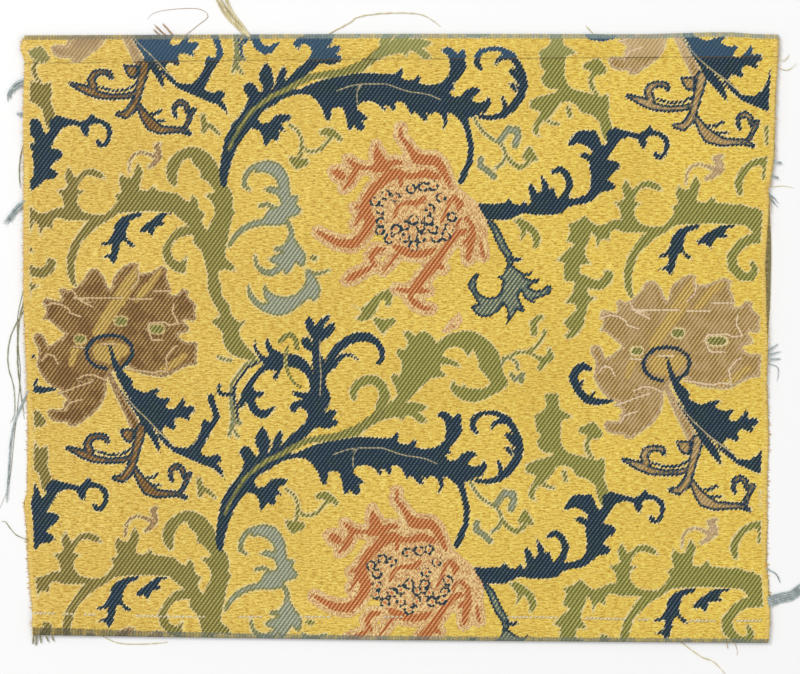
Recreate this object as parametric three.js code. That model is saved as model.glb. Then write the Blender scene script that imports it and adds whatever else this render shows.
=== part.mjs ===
// A cut length of brocaded silk that lies face up. One panel is folded under at its upper edge into
// a deep turning, and at its lower edge into a narrow hem. Its side edges are raw, and loose yarns
// hang from them and from the folds.
// Millimetres: X to the right across the cloth, Y up along it, Z up from the surface it lies on.
// The origin is on the underside, under the middle of the panel.

import * as THREE from 'three';
import { mergeVertices } from 'three/addons/utils/BufferGeometryUtils.js';

// The cloth and its folds
const CLOTH_THICKNESS = 1.0;
const LAYER_GAP = 0.3;
const PANEL_TOP = 147;
const PANEL_BOTTOM = -147;
const PANEL_WIDTH = 364;
const TURNING_DEPTH = 153;
const HEM_DEPTH = 12;
const TURNING_STEP_RUN = 40; // length over which the panel comes down off the turning
const HEM_STEP_RUN = 9; // the same at the hem
const STEP_CLEARANCE = 1.2; // from a layer's raw end to where the panel starts to come down
const COLUMNS = 27; // cells across the cloth
const ROW_PITCH = 11; // cells along the panel and the hem
const CLOSEST_ROWS = 1.5;
const TURNING_ROW_PITCH = 18;
const STEP_ROWS = 4; // cells where the panel comes down off the hem
const FOLD_STEPS = 4; // facets round each fold
const CREASE_INSET = 13; // from the upper fold to the old crease below it

// The yarns
const EDGE_GAP = 0.3; // between the cloth's edge and the strip that carries its loose ends
const STRIP_WIDTH = 1.0;
const YARN_HEIGHT = 0.7;
const TIP_SHARE = 0.55; // width of a yarn's tip, as a share of its root
const FRAY_WIDTH = 0.6;
const FRAY_PITCH = 3.6;
const FRAY_SHORTEST = 0.6;
const FRAY_LONGEST = 1.3;
const FRAY_CLEARANCE = 1.6; // from a short end to the root of a long yarn
const YARN_STEPS = 3; // facets between two points of a yarn's path
const STRIP_END = 5; // from a side strip's end to the fold
const CLOSEST_BENDS = 0.4; // in a strip's line
const RAGGEDNESS = 0.16; // how far its line wanders outwards
const RAGGED_PACE = 5.1; // how fast that changes along it
const SHORT_END_SLANT = 0.5; // how far along the edge a short end may lean

// Raw side edges of the panel, from the upper fold to the lower one
const PANEL_SIDES = [
  { y: 147, left: -182.7, right: 183.8 },
  { y: 135, left: -182.1, right: 183.4 },
  { y: 120, left: -182.6, right: 182.6 },
  { y: 105, left: -182.8, right: 182.1 },
  { y: 88, left: -182.8, right: 181.6 },
  { y: 76, left: -182.8, right: 179.8 },
  { y: 71, left: -182.8, right: 178.4 },
  { y: 66, left: -182.8, right: 179.3 },
  { y: 58, left: -182.8, right: 178.8 },
  { y: 36, left: -182.8, right: 177.2 },
  { y: 18, left: -182.7, right: 177.9 },
  { y: -2, left: -182.1, right: 178.5 },
  { y: -22, left: -181.3, right: 178.1 },
  { y: -48, left: -180.9, right: 179.2 },
  { y: -70, left: -181.1, right: 178.5 },
  { y: -78, left: -181.3, right: 178.5 },
  { y: -82, left: -182.9, right: 178.5 },
  { y: -91, left: -181.6, right: 178.5 },
  { y: -108, left: -180.9, right: 178.1 },
  { y: -122, left: -180.0, right: 179.2 },
  { y: -134, left: -178.5, right: 179.7 },
  { y: -149, left: -178.4, right: 178.9 },
];

// Side edges of the turning behind it: on the right it looks out past the panel between y 60 and 0
const TURNING_SIDES = [
  { y: 147, left: -182.7, right: 183.8 },
  { y: 120, left: -181.8, right: 181.6 },
  { y: 76, left: -181.2, right: 178.3 },
  { y: 60, left: -181.2, right: 180.1 },
  { y: 36, left: -181.3, right: 180.5 },
  { y: 12, left: -181.3, right: 179.8 },
  { y: -4, left: -181.5, right: 178.7 },
  { y: -10, left: -181.6, right: 178.2 },
];

// Where the two folds run, as they aren't quite straight
const FOLD_LINES = [
  { x: -183, top: 146.6, bottom: -144.8 },
  { x: -120, top: 146.9, bottom: -145.8 },
  { x: 0, top: 147.4, bottom: -147.4 },
  { x: 120, top: 147.2, bottom: -148.3 },
  { x: 150, top: 148.1, bottom: -148.5 },
  { x: 162, top: 148.1, bottom: -148.6 },
  { x: 172, top: 147.3, bottom: -148.7 },
  { x: 184, top: 147.0, bottom: -148.7 },
];

// Soft ridges in the panel. turn is in degrees from the X axis.
const RIPPLES = [
  { x: -118, y: 96, turn: -18, length: 70, width: 17, height: 0.9 },
  { x: 62, y: 74, turn: 14, length: 90, width: 20, height: 0.7 },
  { x: 176, y: 30, turn: 86, length: 34, width: 10, height: 0.8 },
  { x: -62, y: -72, turn: -9, length: 80, width: 18, height: 0.8 },
  { x: 112, y: -66, turn: 24, length: 66, width: 17, height: 0.9 },
  { x: -10, y: 139, turn: 0.6, length: 260, width: 4, height: 0.5 },
  { x: 0, y: -140, turn: -0.6, length: 260, width: 4, height: 0.5 },
];
const RIPPLE_FLOOR = 0.06; // what is lower than this lies flat

// Long yarns at the raw sides. root is the place along the edge, and path the points it lies through.
const LEFT_YARNS = [
  { root: 124.6, width: 0.7, path: [[-187.0, 122.2], [-190.4, 118.2]] },
  { root: 123.4, width: 0.7, path: [[-186.2, 120.4], [-189.4, 116.0]] },
  { root: 122.2, width: 0.7, path: [[-185.4, 118.8], [-187.6, 114.6]] },
  { root: 108.8, width: 1.0, path: [[-186.2, 108.2]] },
  { root: 94.6, width: 0.6, path: [[-187.0, 89.0], [-187.8, 80.0], [-187.0, 70.0]] },
  { root: 66.2, width: 0.8, path: [[-187.2, 62.6], [-191.3, 56.2]] },
  { root: 65.0, width: 0.8, path: [[-186.4, 60.8], [-189.6, 54.6]] },
  { root: 63.8, width: 0.7, path: [[-185.8, 60.0], [-187.8, 56.0]] },
  { root: 23.4, width: 0.6,
    path: [[-188.0, 12.5], [-190.2, 0.0], [-190.6, -12.0], [-189.6, -21.0], [-188.6, -28.0]] },
  { root: 18.2, width: 0.6, path: [[-186.6, 9.0], [-187.4, -3.9], [-186.8, -12.0], [-186.2, -21.0]] },
  { root: -28.2, width: 0.9,
    path: [[-187.0, -38.4], [-189.1, -49.5], [-190.0, -61.7], [-190.7, -71.9], [-191.2, -80.6]] },
  { root: -62.4, width: 0.6, path: [[-184.6, -70.4], [-187.6, -78.0], [-191.4, -84.6], [-197.0, -88.2]] },
  { root: -99.6, width: 0.6, path: [[-186.2, -96.6], [-189.0, -94.6], [-192.4, -93.6], [-196.6, -91.4]] },
];
const RIGHT_YARNS = [
  { root: 134.0, width: 0.7, path: [[187.9, 135.2], [190.4, 139.8]] },
  { root: 131.4, width: 0.7, path: [[188.6, 129.8], [193.0, 133.2]] },
  { root: 85.4, width: 1.2, path: [[185.6, 84.6]] },
  { root: 78.4, width: 1.2, path: [[184.0, 77.4]] },
  { root: 73.0, width: 0.6, path: [[186.0, 73.4], [191.8, 72.6]] },
  { root: 70.6, width: 0.8, path: [[184.6, 65.0]] },
  { root: 69.2, width: 0.8, path: [[183.6, 62.8]] },
  { root: -7.4, width: 0.7, path: [[184.0, -3.4]] },
  { root: -9.2, width: 0.7, path: [[185.4, -6.8]] },
  { root: -11.0, width: 0.7, path: [[185.0, -10.6]] },
  { root: -12.8, width: 0.6, path: [[183.8, -15.0], [183.4, -23.3]] },
  { root: -112.4, width: 0.6, path: [[183.0, -115.4], [184.8, -119.6]] },
];

// The thick bundle low on the right side: yarns that run side by side
const BUNDLE = {
  count: 5,
  pitch: 1.1,
  width: 0.8,
  root: -126.8,
  slant: 0.3,
  path: [[184.5, -124.8], [189.9, -123.6], [194.2, -120.6], [198.5, -118.4], [203.0, -117.6]],
};

// Loose yarns at the two folds. from and to are the ends of the short strip that carries them.
const FOLD_YARNS = [
  {
    name: 'top_tan_ends', edge: 'top', from: -116.5, to: -105.0, yarns: [
      { root: -109.3, width: 0.8, path: [[-117.0, 154.2]] },
      { root: -112.6, width: 0.8, path: [[-119.7, 151.9]] },
      { root: -115.4, width: 0.7, path: [[-119.9, 149.6]] },
      { root: -106.0, width: 0.6,
        path: [[-98.6, 151.4], [-93.4, 156.0], [-98.0, 159.6], [-110.7, 159.4], [-119.6, 157.6],
          [-123.8, 153.6]] },
    ],
  },
  {
    name: 'top_cream_tuft', edge: 'top', from: -77.0, to: -70.4, yarns: [
      { root: -76.2, width: 0.7, path: [[-81.4, 151.2], [-88.0, 157.4], [-93.0, 166.0]] },
      { root: -74.6, width: 0.7, path: [[-79.8, 151.6], [-86.2, 157.6], [-91.2, 167.4]] },
      { root: -73.0, width: 0.7, path: [[-78.2, 152.0], [-84.4, 157.8], [-89.2, 167.0]] },
      { root: -71.4, width: 0.7, path: [[-76.6, 152.4], [-82.6, 158.0], [-87.4, 164.4]] },
    ],
  },
  {
    name: 'top_cream_arc', edge: 'top', from: -42.0, to: -36.0, yarns: [
      { root: -38.4, width: 0.6,
        path: [[-25.3, 152.4], [-19.9, 155.8], [-6.8, 157.5], [7.8, 157.3], [14.6, 154.8], [21.6, 149.4]] },
    ],
  },
  {
    name: 'top_short_end', edge: 'top', from: 92.6, to: 98.6, yarns: [
      { root: 95.7, width: 0.6, path: [[88.4, 153.4]] },
    ],
  },
  {
    name: 'bottom_corner_fray', edge: 'bottom', from: -178.4, to: -170.6, yarns: [
      { root: -177.8, width: 0.6, path: [[-179.0, -152.4]] },
      { root: -176.4, width: 0.6, path: [[-177.0, -151.0]] },
      { root: -174.8, width: 0.6, path: [[-174.6, -149.6]] },
      { root: -172.4, width: 0.6, path: [[-171.0, -148.6]] },
    ],
  },
  {
    name: 'bottom_bowed_yarn', edge: 'bottom', from: -151.0, to: -145.0, yarns: [
      { root: -147.6, width: 0.6,
        path: [[-138.0, -148.6], [-127.2, -149.4], [-116.0, -148.8], [-110.6, -147.6]] },
    ],
  },
  {
    name: 'bottom_cream_end', edge: 'bottom', from: 131.0, to: 137.0, yarns: [
      { root: 134.0, width: 0.6, path: [[145.7, -155.0], [153.0, -158.4], [160.0, -166.0]] },
    ],
  },
  {
    name: 'bottom_stub_ends', edge: 'bottom', from: 157.0, to: 164.0, yarns: [
      { root: 158.8, width: 0.9, path: [[159.3, -153.6]] },
      { root: 162.0, width: 0.6, path: [[164.2, -154.4], [162.6, -159.4]] },
    ],
  },
];

const COLOURS = {
  silk: { color: 0xdeba60, roughness: 0.55 },
  weft: { color: 0xe0c573, roughness: 0.7 },
  cream: { color: 0xe6d9b4, roughness: 0.75 },
};

// A table's column at a place between its rows
function valueAt(table, key, place, column) {
  const rows = table[0][key] < table[table.length - 1][key] ? table : [...table].reverse();
  const after = rows.findIndex((row) => row[key] >= place);
  if (after === 0) return rows[0][column];
  if (after < 0) return rows[rows.length - 1][column];
  const low = rows[after - 1];
  const high = rows[after];
  const share = (place - low[key]) / (high[key] - low[key]);
  return THREE.MathUtils.lerp(low[column], high[column], share);
}

// An even spread of values in 0 to 1 that looks uneven from one to the next
function unevenness(index) {
  return (index * 0.6180339887) % 1;
}

// How high the ripples lift the panel at a point
function rippleHeight(x, y) {
  let height = 0;
  for (const ripple of RIPPLES) {
    const turn = THREE.MathUtils.degToRad(ripple.turn);
    const along = (x - ripple.x) * Math.cos(turn) + (y - ripple.y) * Math.sin(turn);
    const across = (y - ripple.y) * Math.cos(turn) - (x - ripple.x) * Math.sin(turn);
    const fall = (along / ripple.length) ** 2 + (across / ripple.width) ** 2;
    height += ripple.height * Math.exp(-fall);
  }
  return Math.max(0, height - RIPPLE_FLOOR);
}

// How high the layers under the panel lift it, at its middle plane, before the ripples
function liftOverLayers(y) {
  const turningEnd = PANEL_TOP - TURNING_DEPTH;
  const hemEnd = PANEL_BOTTOM + HEM_DEPTH;
  const ontoTurning = THREE.MathUtils.smoothstep(
    y, turningEnd - STEP_CLEARANCE - TURNING_STEP_RUN, turningEnd - STEP_CLEARANCE,
  );
  const offHem = 1 - THREE.MathUtils.smoothstep(
    y, hemEnd + STEP_CLEARANCE, hemEnd + STEP_CLEARANCE + HEM_STEP_RUN,
  );
  return (CLOTH_THICKNESS + LAYER_GAP) * Math.max(ontoTurning, offHem);
}

// Places from one end to the other, about one pitch apart
function placesBetween(from, to, pitch) {
  const steps = Math.max(1, Math.round(Math.abs(to - from) / pitch));
  return Array.from({ length: steps + 1 }, (_, step) => THREE.MathUtils.lerp(from, to, step / steps));
}

// The same places in rising order, without those that come too close after another
function spacedOut(places, least) {
  const kept = [];
  for (const place of [...places].sort((one, other) => one - other)) {
    if (kept.length === 0 || place - kept.at(-1) > least) kept.push(place);
  }
  return kept;
}

// The section of the cloth as stations on its middle line, from the hem's raw end round both folds
// to the turning's raw end. faceY and faceZ point from the middle line to the right side.
function sectionStations() {
  const low = CLOTH_THICKNESS / 2;
  const high = low + CLOTH_THICKNESS + LAYER_GAP;
  const radius = (high - low) / 2;
  const foldInset = radius + CLOTH_THICKNESS / 2;
  const bottomCentre = PANEL_BOTTOM + foldInset;
  const topCentre = PANEL_TOP - foldInset;
  const hemEnd = PANEL_BOTTOM + HEM_DEPTH;
  const turningEnd = PANEL_TOP - TURNING_DEPTH;
  const hem = placesBetween(hemEnd, bottomCentre, ROW_PITCH)
    .map((y) => ({ layer: 'hem', y, z: low, faceY: 0, faceZ: -1 }));
  const turning = placesBetween(topCentre, turningEnd, TURNING_ROW_PITCH)
    .map((y) => ({ layer: 'turning', y, z: low, faceY: 0, faceZ: -1 }));
  const offHem = hemEnd + STEP_CLEARANCE;
  const offTurning = turningEnd - STEP_CLEARANCE;
  const stops = [
    bottomCentre, ...placesBetween(offHem, offHem + HEM_STEP_RUN, HEM_STEP_RUN / STEP_ROWS),
    offTurning - TURNING_STEP_RUN, offTurning, PANEL_TOP - CREASE_INSET, topCentre,
    ...PANEL_SIDES.map((row) => row.y).filter((y) => y > offHem + HEM_STEP_RUN && y < topCentre),
  ];
  const spaced = spacedOut(stops, CLOSEST_ROWS);
  const filled = spaced.slice(1).flatMap((y, index) => placesBetween(spaced[index], y, ROW_PITCH).slice(1));
  const front = [bottomCentre, ...filled]
    .map((y) => ({ layer: 'panel', y, z: low + liftOverLayers(y), faceY: 0, faceZ: 1 }));
  const fold = (centre, side) => Array.from({ length: FOLD_STEPS - 1 }, (_, step) => {
    const angle = Math.PI * (step + 1) / FOLD_STEPS;
    const rise = side < 0 ? -Math.cos(angle) : Math.cos(angle);
    const reach = side * Math.sin(angle);
    const z = low + radius + radius * rise;
    return { layer: 'fold', y: centre + radius * reach, z, faceY: reach, faceZ: rise };
  });
  return [...hem, ...fold(bottomCentre, -1), ...front, ...fold(topCentre, 1), ...turning];
}

// The point of the middle line for a station, at a share of the way across the cloth
function middlePoint(station, share) {
  const nominalX = PANEL_WIDTH * (share - 0.5);
  const upward = (station.y - PANEL_BOTTOM) / (PANEL_TOP - PANEL_BOTTOM);
  const topShift = valueAt(FOLD_LINES, 'x', nominalX, 'top') - PANEL_TOP;
  const bottomShift = valueAt(FOLD_LINES, 'x', nominalX, 'bottom') - PANEL_BOTTOM;
  const y = station.y + THREE.MathUtils.lerp(bottomShift, topShift, upward);
  const sides = station.layer === 'turning' ? TURNING_SIDES : PANEL_SIDES;
  const x = THREE.MathUtils.lerp(valueAt(sides, 'y', y, 'left'), valueAt(sides, 'y', y, 'right'), share);
  const ripple = station.layer === 'panel' ? rippleHeight(x, y) : 0;
  return new THREE.Vector3(x, y, station.z + ripple);
}

// The whole cloth as one closed sheet: a grid for its right side, one for its back, and its rim
function clothGeometry() {
  const rows = STATIONS.length;
  const positions = [];
  for (let column = 0; column <= COLUMNS; column += 1) {
    for (const station of STATIONS) {
      const middle = middlePoint(station, column / COLUMNS);
      for (const side of [0.5, -0.5]) {
        const reach = side * CLOTH_THICKNESS;
        positions.push(middle.x, middle.y + reach * station.faceY, middle.z + reach * station.faceZ);
      }
    }
  }
  const face = (column, row) => 2 * (column * rows + row);
  const back = (column, row) => face(column, row) + 1;
  const indices = [];
  const quad = (a, b, c, d) => indices.push(a, b, c, a, c, d);
  for (let column = 0; column < COLUMNS; column += 1) {
    for (let row = 0; row < rows - 1; row += 1) {
      quad(face(column, row), face(column + 1, row), face(column + 1, row + 1), face(column, row + 1));
      quad(back(column, row), back(column, row + 1), back(column + 1, row + 1), back(column + 1, row));
    }
    const last = rows - 1;
    quad(face(column, 0), back(column, 0), back(column + 1, 0), face(column + 1, 0));
    quad(face(column, last), face(column + 1, last), back(column + 1, last), back(column, last));
  }
  for (let row = 0; row < rows - 1; row += 1) {
    quad(face(0, row), face(0, row + 1), back(0, row + 1), back(0, row));
    quad(face(COLUMNS, row), back(COLUMNS, row), back(COLUMNS, row + 1), face(COLUMNS, row + 1));
  }
  const geometry = new THREE.BufferGeometry();
  geometry.setAttribute('position', new THREE.Float32BufferAttribute(positions, 3));
  geometry.setIndex(indices);
  geometry.computeVertexNormals();
  return geometry;
}

// The outline that the solid really has, as it runs straight from one row or column to the next
const STATIONS = sectionStations();
const sideRows = (layer) => STATIONS.filter((station) => station.layer === layer).map((station) => {
  const left = middlePoint(station, 0);
  const right = middlePoint(station, 1);
  return { y: left.y, left: left.x, right: right.x };
});
const BUILT_PANEL_SIDES = sideRows('panel');
const BUILT_TURNING_SIDES = sideRows('turning');
const BUILT_FOLDS = Array.from({ length: COLUMNS + 1 }, (_, column) => {
  const outermost = (side) => {
    const fold = STATIONS.filter((station) => station.layer === 'fold' && station.faceY === side)[0];
    return middlePoint(fold, column / COLUMNS);
  };
  const top = outermost(1);
  return { x: top.x, top: top.y + CLOTH_THICKNESS / 2, bottom: outermost(-1).y - CLOTH_THICKNESS / 2 };
});

// The furthest out of the panel's and the turning's side at a height
function sideAt(y, column, furthest) {
  const panelSide = valueAt(BUILT_PANEL_SIDES, 'y', y, column);
  const turningReaches = y > BUILT_TURNING_SIDES.at(-1).y - STRIP_WIDTH;
  return turningReaches ? furthest(panelSide, valueAt(BUILT_TURNING_SIDES, 'y', y, column)) : panelSide;
}

// The outline of all layers together, and the way out of it, at a place along each edge
const EDGES = {
  left: (y) => ({ x: sideAt(y, 'left', Math.min), y, outX: -1, outY: 0 }),
  right: (y) => ({ x: sideAt(y, 'right', Math.max), y, outX: 1, outY: 0 }),
  top: (x) => ({ x, y: valueAt(BUILT_FOLDS, 'x', x, 'top'), outX: 0, outY: 1 }),
  bottom: (x) => ({ x, y: valueAt(BUILT_FOLDS, 'x', x, 'bottom'), outX: 0, outY: -1 }),
};

// The point that lies a distance outside an edge, or a little further out, as no raw line is straight
function outside(edge, place, distance) {
  const at = EDGES[edge](place);
  const reach = distance + RAGGEDNESS * unevenness(Math.abs(RAGGED_PACE * place));
  return new THREE.Vector2(at.x + reach * at.outX, at.y + reach * at.outY);
}

// The outline of one yarn that lies flat, from its root on the strip's outer line out to its tip and
// back. It narrows towards the tip.
function yarnOutline(edge, { root, path, width }) {
  const foot = EDGE_GAP + STRIP_WIDTH;
  const curve = new THREE.SplineCurve([
    outside(edge, root, foot), ...path.map(([x, y]) => new THREE.Vector2(x, y)),
  ]);
  const steps = path.length > 1 ? YARN_STEPS * path.length : 1;
  const lowerSide = edge === 'left' || edge === 'top' ? 1 : -1;
  const goingOut = [outside(edge, root - width / 2, foot)];
  const comingBack = [outside(edge, root + width / 2, foot)];
  for (let step = 1; step <= steps; step += 1) {
    const share = step / steps;
    const at = curve.getPoint(share);
    const ahead = curve.getTangent(share);
    const half = 0.5 * lowerSide * width * THREE.MathUtils.lerp(1, TIP_SHARE, share);
    goingOut.push(new THREE.Vector2(at.x - half * ahead.y, at.y + half * ahead.x));
    comingBack.push(new THREE.Vector2(at.x + half * ahead.y, at.y - half * ahead.x));
  }
  return [...goingOut, ...comingBack.reverse()];
}

// The short ends of weft along a raw side, clear of the long yarns' roots
function shortEnds(edge, from, to, longRoots) {
  const places = placesBetween(from, to, FRAY_PITCH)
    .filter((place) => longRoots.every((root) => Math.abs(root - place) > FRAY_CLEARANCE));
  return places.map((root, index) => {
    const length = THREE.MathUtils.lerp(FRAY_SHORTEST, FRAY_LONGEST, unevenness(index));
    const lean = SHORT_END_SLANT * unevenness(3 * index);
    const tip = outside(edge, root - lean, EDGE_GAP + STRIP_WIDTH + length);
    return { root, width: FRAY_WIDTH, path: [[tip.x, tip.y]] };
  });
}

// The bundle's yarns as rows of the table of long yarns
function bundleYarns() {
  return Array.from({ length: BUNDLE.count }, (_, index) => {
    const shift = (index - (BUNDLE.count - 1) / 2) * BUNDLE.pitch;
    const path = BUNDLE.path.map(([x, y]) => [x - BUNDLE.slant * shift, y + shift]);
    return { root: BUNDLE.root + shift, width: BUNDLE.width, path };
  });
}

// A strip along a stretch of an edge, which bends where the edge does, with its yarns standing out
// from it: one flat outline, raised
function combGeometry(edge, from, to, yarns) {
  const upright = edge === 'left' || edge === 'right';
  const rows = upright ? [...BUILT_PANEL_SIDES, ...BUILT_TURNING_SIDES] : BUILT_FOLDS;
  const bends = spacedOut(rows.map((row) => (upright ? row.y : row.x)), CLOSEST_BENDS)
    .filter((place) => place > from + CLOSEST_BENDS && place < to - CLOSEST_BENDS);
  const clearOfRoots = bends
    .filter((place) => yarns.every((row) => Math.abs(row.root - place) > row.width));
  const along = (places, distance) => places.map((place) => ({
    place, points: [outside(edge, place, distance)],
  }));
  const outer = [
    ...along([from, ...clearOfRoots, to], EDGE_GAP + STRIP_WIDTH),
    ...yarns.map((row) => ({ place: row.root, points: yarnOutline(edge, row) })),
  ].sort((one, other) => one.place - other.place);
  const inner = along([from, ...bends, to], EDGE_GAP).sort((one, other) => other.place - one.place);
  const outline = [...outer, ...inner].flatMap((stretch) => stretch.points);
  const shape = new THREE.Shape(outline);
  const geometry = new THREE.ExtrudeGeometry(shape, { depth: YARN_HEIGHT, bevelEnabled: false });
  geometry.deleteAttribute('normal');
  geometry.deleteAttribute('uv');
  const closed = mergeVertices(geometry, 1e-4);
  closed.computeVertexNormals();
  return closed;
}

// The frayed side of the cloth: its strip with the short and the long ends
function sideFray(edge, yarns) {
  const from = PANEL_BOTTOM + STRIP_END;
  const to = PANEL_TOP - STRIP_END;
  const roots = yarns.map((row) => row.root);
  return combGeometry(edge, from, to, [...shortEnds(edge, from + 1, to - 1, roots), ...yarns]);
}

// A named piece with its own finish
function named(name, geometry, finish) {
  const material = new THREE.MeshStandardMaterial({ ...finish, metalness: 0 });
  const mesh = new THREE.Mesh(geometry, material);
  mesh.name = name;
  return mesh;
}

const textile = new THREE.Group();
textile.add(named('cloth', clothGeometry(), COLOURS.silk));
textile.add(named('left_edge_fray', sideFray('left', LEFT_YARNS), COLOURS.weft));
textile.add(named('right_edge_fray', sideFray('right', [...RIGHT_YARNS, ...bundleYarns()]), COLOURS.weft));
for (const { name, edge, from, to, yarns } of FOLD_YARNS) {
  textile.add(named(name, combGeometry(edge, from, to, yarns), COLOURS.cream));
}

export default textile;
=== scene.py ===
"""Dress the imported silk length: folded cloth, woven figures, worn folds, stitches and loose yarns."""

import logging
import math
import random
from dataclasses import dataclass
from enum import Enum

import bmesh
import bpy
import numpy
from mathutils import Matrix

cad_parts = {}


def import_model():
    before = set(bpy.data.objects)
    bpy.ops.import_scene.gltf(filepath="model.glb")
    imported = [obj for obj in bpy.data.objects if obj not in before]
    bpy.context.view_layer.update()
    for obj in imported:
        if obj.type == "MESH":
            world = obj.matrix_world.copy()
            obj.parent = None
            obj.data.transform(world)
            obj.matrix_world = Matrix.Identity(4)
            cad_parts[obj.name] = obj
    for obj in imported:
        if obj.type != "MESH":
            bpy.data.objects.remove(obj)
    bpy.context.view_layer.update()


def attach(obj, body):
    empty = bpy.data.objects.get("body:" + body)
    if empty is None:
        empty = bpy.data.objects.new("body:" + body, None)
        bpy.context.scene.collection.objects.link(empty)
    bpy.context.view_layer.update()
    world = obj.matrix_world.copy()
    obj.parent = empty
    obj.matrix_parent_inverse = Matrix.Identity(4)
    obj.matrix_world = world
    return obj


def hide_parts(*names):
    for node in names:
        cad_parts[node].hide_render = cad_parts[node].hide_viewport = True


LOG = logging.getLogger("silk_length")
Socket = bpy.types.NodeSocket

MM = 0.001
CHART_STEP = 0.4856
CHART_MIDDLE = (400.0, 337.0)
REPEAT_ACROSS = (557.0, 12.0)
REPEAT_ALONG = (-4.0, 364.0)
FAR = 9.0
FIGURE_REACH = 12.0
SELVEDGE_STEPS = 6.5
DRAWN_OUT = 3.2
DRAWN_FROM = 147.0
DRAWN_TO = 162.0


class Dye(Enum):
    """The colour that a woven figure is worked in."""

    NAVY = "navy"
    OLIVE = "olive"
    GREEN = "green"
    GREY = "grey"
    CORAL = "coral"
    PEACH = "peach"
    BROWN = "brown"
    BRANCH = "branch"
    PENDANT = "pendant"


class Zone(Enum):
    """A part of the folded length that keeps its own place on the baked picture."""

    PANEL = (0.002, 0.25, 0.996, 0.745)
    TURNING = (0.002, 0.002, 0.40, 0.235)
    HEM = (0.42, 0.21, 0.30, 0.03)
    PANEL_BACK = (0.42, 0.002, 0.30, 0.195)
    HIDDEN_BACK = (0.74, 0.002, 0.16, 0.235)
    RIM = (0.92, 0.002, 0.078, 0.235)


@dataclass(frozen=True)
class Leaf:
    """A closed figure of the weave, charted in chart steps."""

    outline: str
    lays: tuple[int, ...] = (-1, 0, 1)


@dataclass(frozen=True)
class Stem:
    """A drawn-out figure of the weave: a spine and its widths, in chart steps."""

    spine: str
    widths: str
    lays: tuple[int, ...] = (-1, 0, 1)


@dataclass(frozen=True)
class SideRow:
    """Where the two raw sides stand at one height, in millimetres."""

    up: float
    left: float
    right: float


@dataclass(frozen=True)
class FoldRow:
    """How far up the two folds stand at one place across, in millimetres."""

    across: float
    top: float
    bottom: float


@dataclass(frozen=True)
class Ripple:
    """A long soft ridge in the panel, in millimetres and degrees."""

    across: float
    up: float
    turn: float
    length: float
    width: float
    height: float


@dataclass(frozen=True)
class LooseYarn:
    """One loose yarn: its path across the floor, in millimetres, and how it is made up."""

    path: str
    strands: int = 3
    width: float = 0.8


PANEL_SIDES: tuple[SideRow, ...] = (
    SideRow(147, -182.3, 183.8),
    SideRow(143.5, -183.6, 183.8),
    SideRow(141, -184.3, 183.7),
    SideRow(138.5, -183.6, 183.6),
    SideRow(136.5, -182.2, 183.4),
    SideRow(130, -182.2, 183.2),
    SideRow(120, -182.6, 182.6),
    SideRow(105, -182.8, 182.1),
    SideRow(88, -182.8, 181.6),
    SideRow(76, -182.8, 179.8),
    SideRow(71, -182.8, 178.4),
    SideRow(66, -182.8, 179.3),
    SideRow(58, -182.8, 178.8),
    SideRow(36, -182.8, 177.2),
    SideRow(18, -182.7, 177.9),
    SideRow(-2, -182.1, 178.5),
    SideRow(-22, -181.3, 178.1),
    SideRow(-48, -180.9, 179.2),
    SideRow(-70, -181.1, 178.5),
    SideRow(-78, -181.3, 178.5),
    SideRow(-82, -182.9, 178.5),
    SideRow(-91, -181.6, 178.5),
    SideRow(-108, -180.9, 178.1),
    SideRow(-122, -180.0, 179.2),
    SideRow(-134, -178.5, 179.7),
    SideRow(-149, -178.4, 178.9),
)

TURNING_SIDES: tuple[SideRow, ...] = (
    SideRow(147, -182.3, 183.8),
    SideRow(120, -181.8, 181.6),
    SideRow(76, -181.2, 178.3),
    SideRow(60, -181.2, 180.1),
    SideRow(36, -181.3, 180.5),
    SideRow(12, -181.3, 179.8),
    SideRow(-4, -181.5, 178.7),
    SideRow(-10, -181.6, 178.2),
)

FOLD_ROWS: tuple[FoldRow, ...] = (
    FoldRow(-183, 146.6, -144.8),
    FoldRow(-120, 146.9, -145.8),
    FoldRow(0, 147.4, -147.4),
    FoldRow(120, 147.2, -148.3),
    FoldRow(150, 148.1, -148.5),
    FoldRow(162, 148.1, -148.6),
    FoldRow(172, 147.3, -148.7),
    FoldRow(184, 147.0, -148.7),
)

RIPPLES: tuple[Ripple, ...] = (
    Ripple(-118, 96, -18, 70, 17, 0.9),
    Ripple(62, 74, 14, 90, 20, 0.7),
    Ripple(176, 30, 86, 34, 10, 0.8),
    Ripple(-62, -72, -9, 80, 18, 0.8),
    Ripple(112, -66, 24, 66, 17, 0.9),
    Ripple(-10, 139, 0.6, 260, 4, 0.5),
    Ripple(0, -140, -0.6, 260, 4, 0.5),
)

CREASE_ACROSS = (-183.0, -63.0, 183.0)
CREASE_HEIGHTS = (132.8, 134.5, 136.2)
LOW_BAND_ACROSS = (-176.0, -130.0, -60.0, 176.0)
LOW_BAND_WIDTHS = (4.4, 3.6, 2.7, 2.5)

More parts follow.
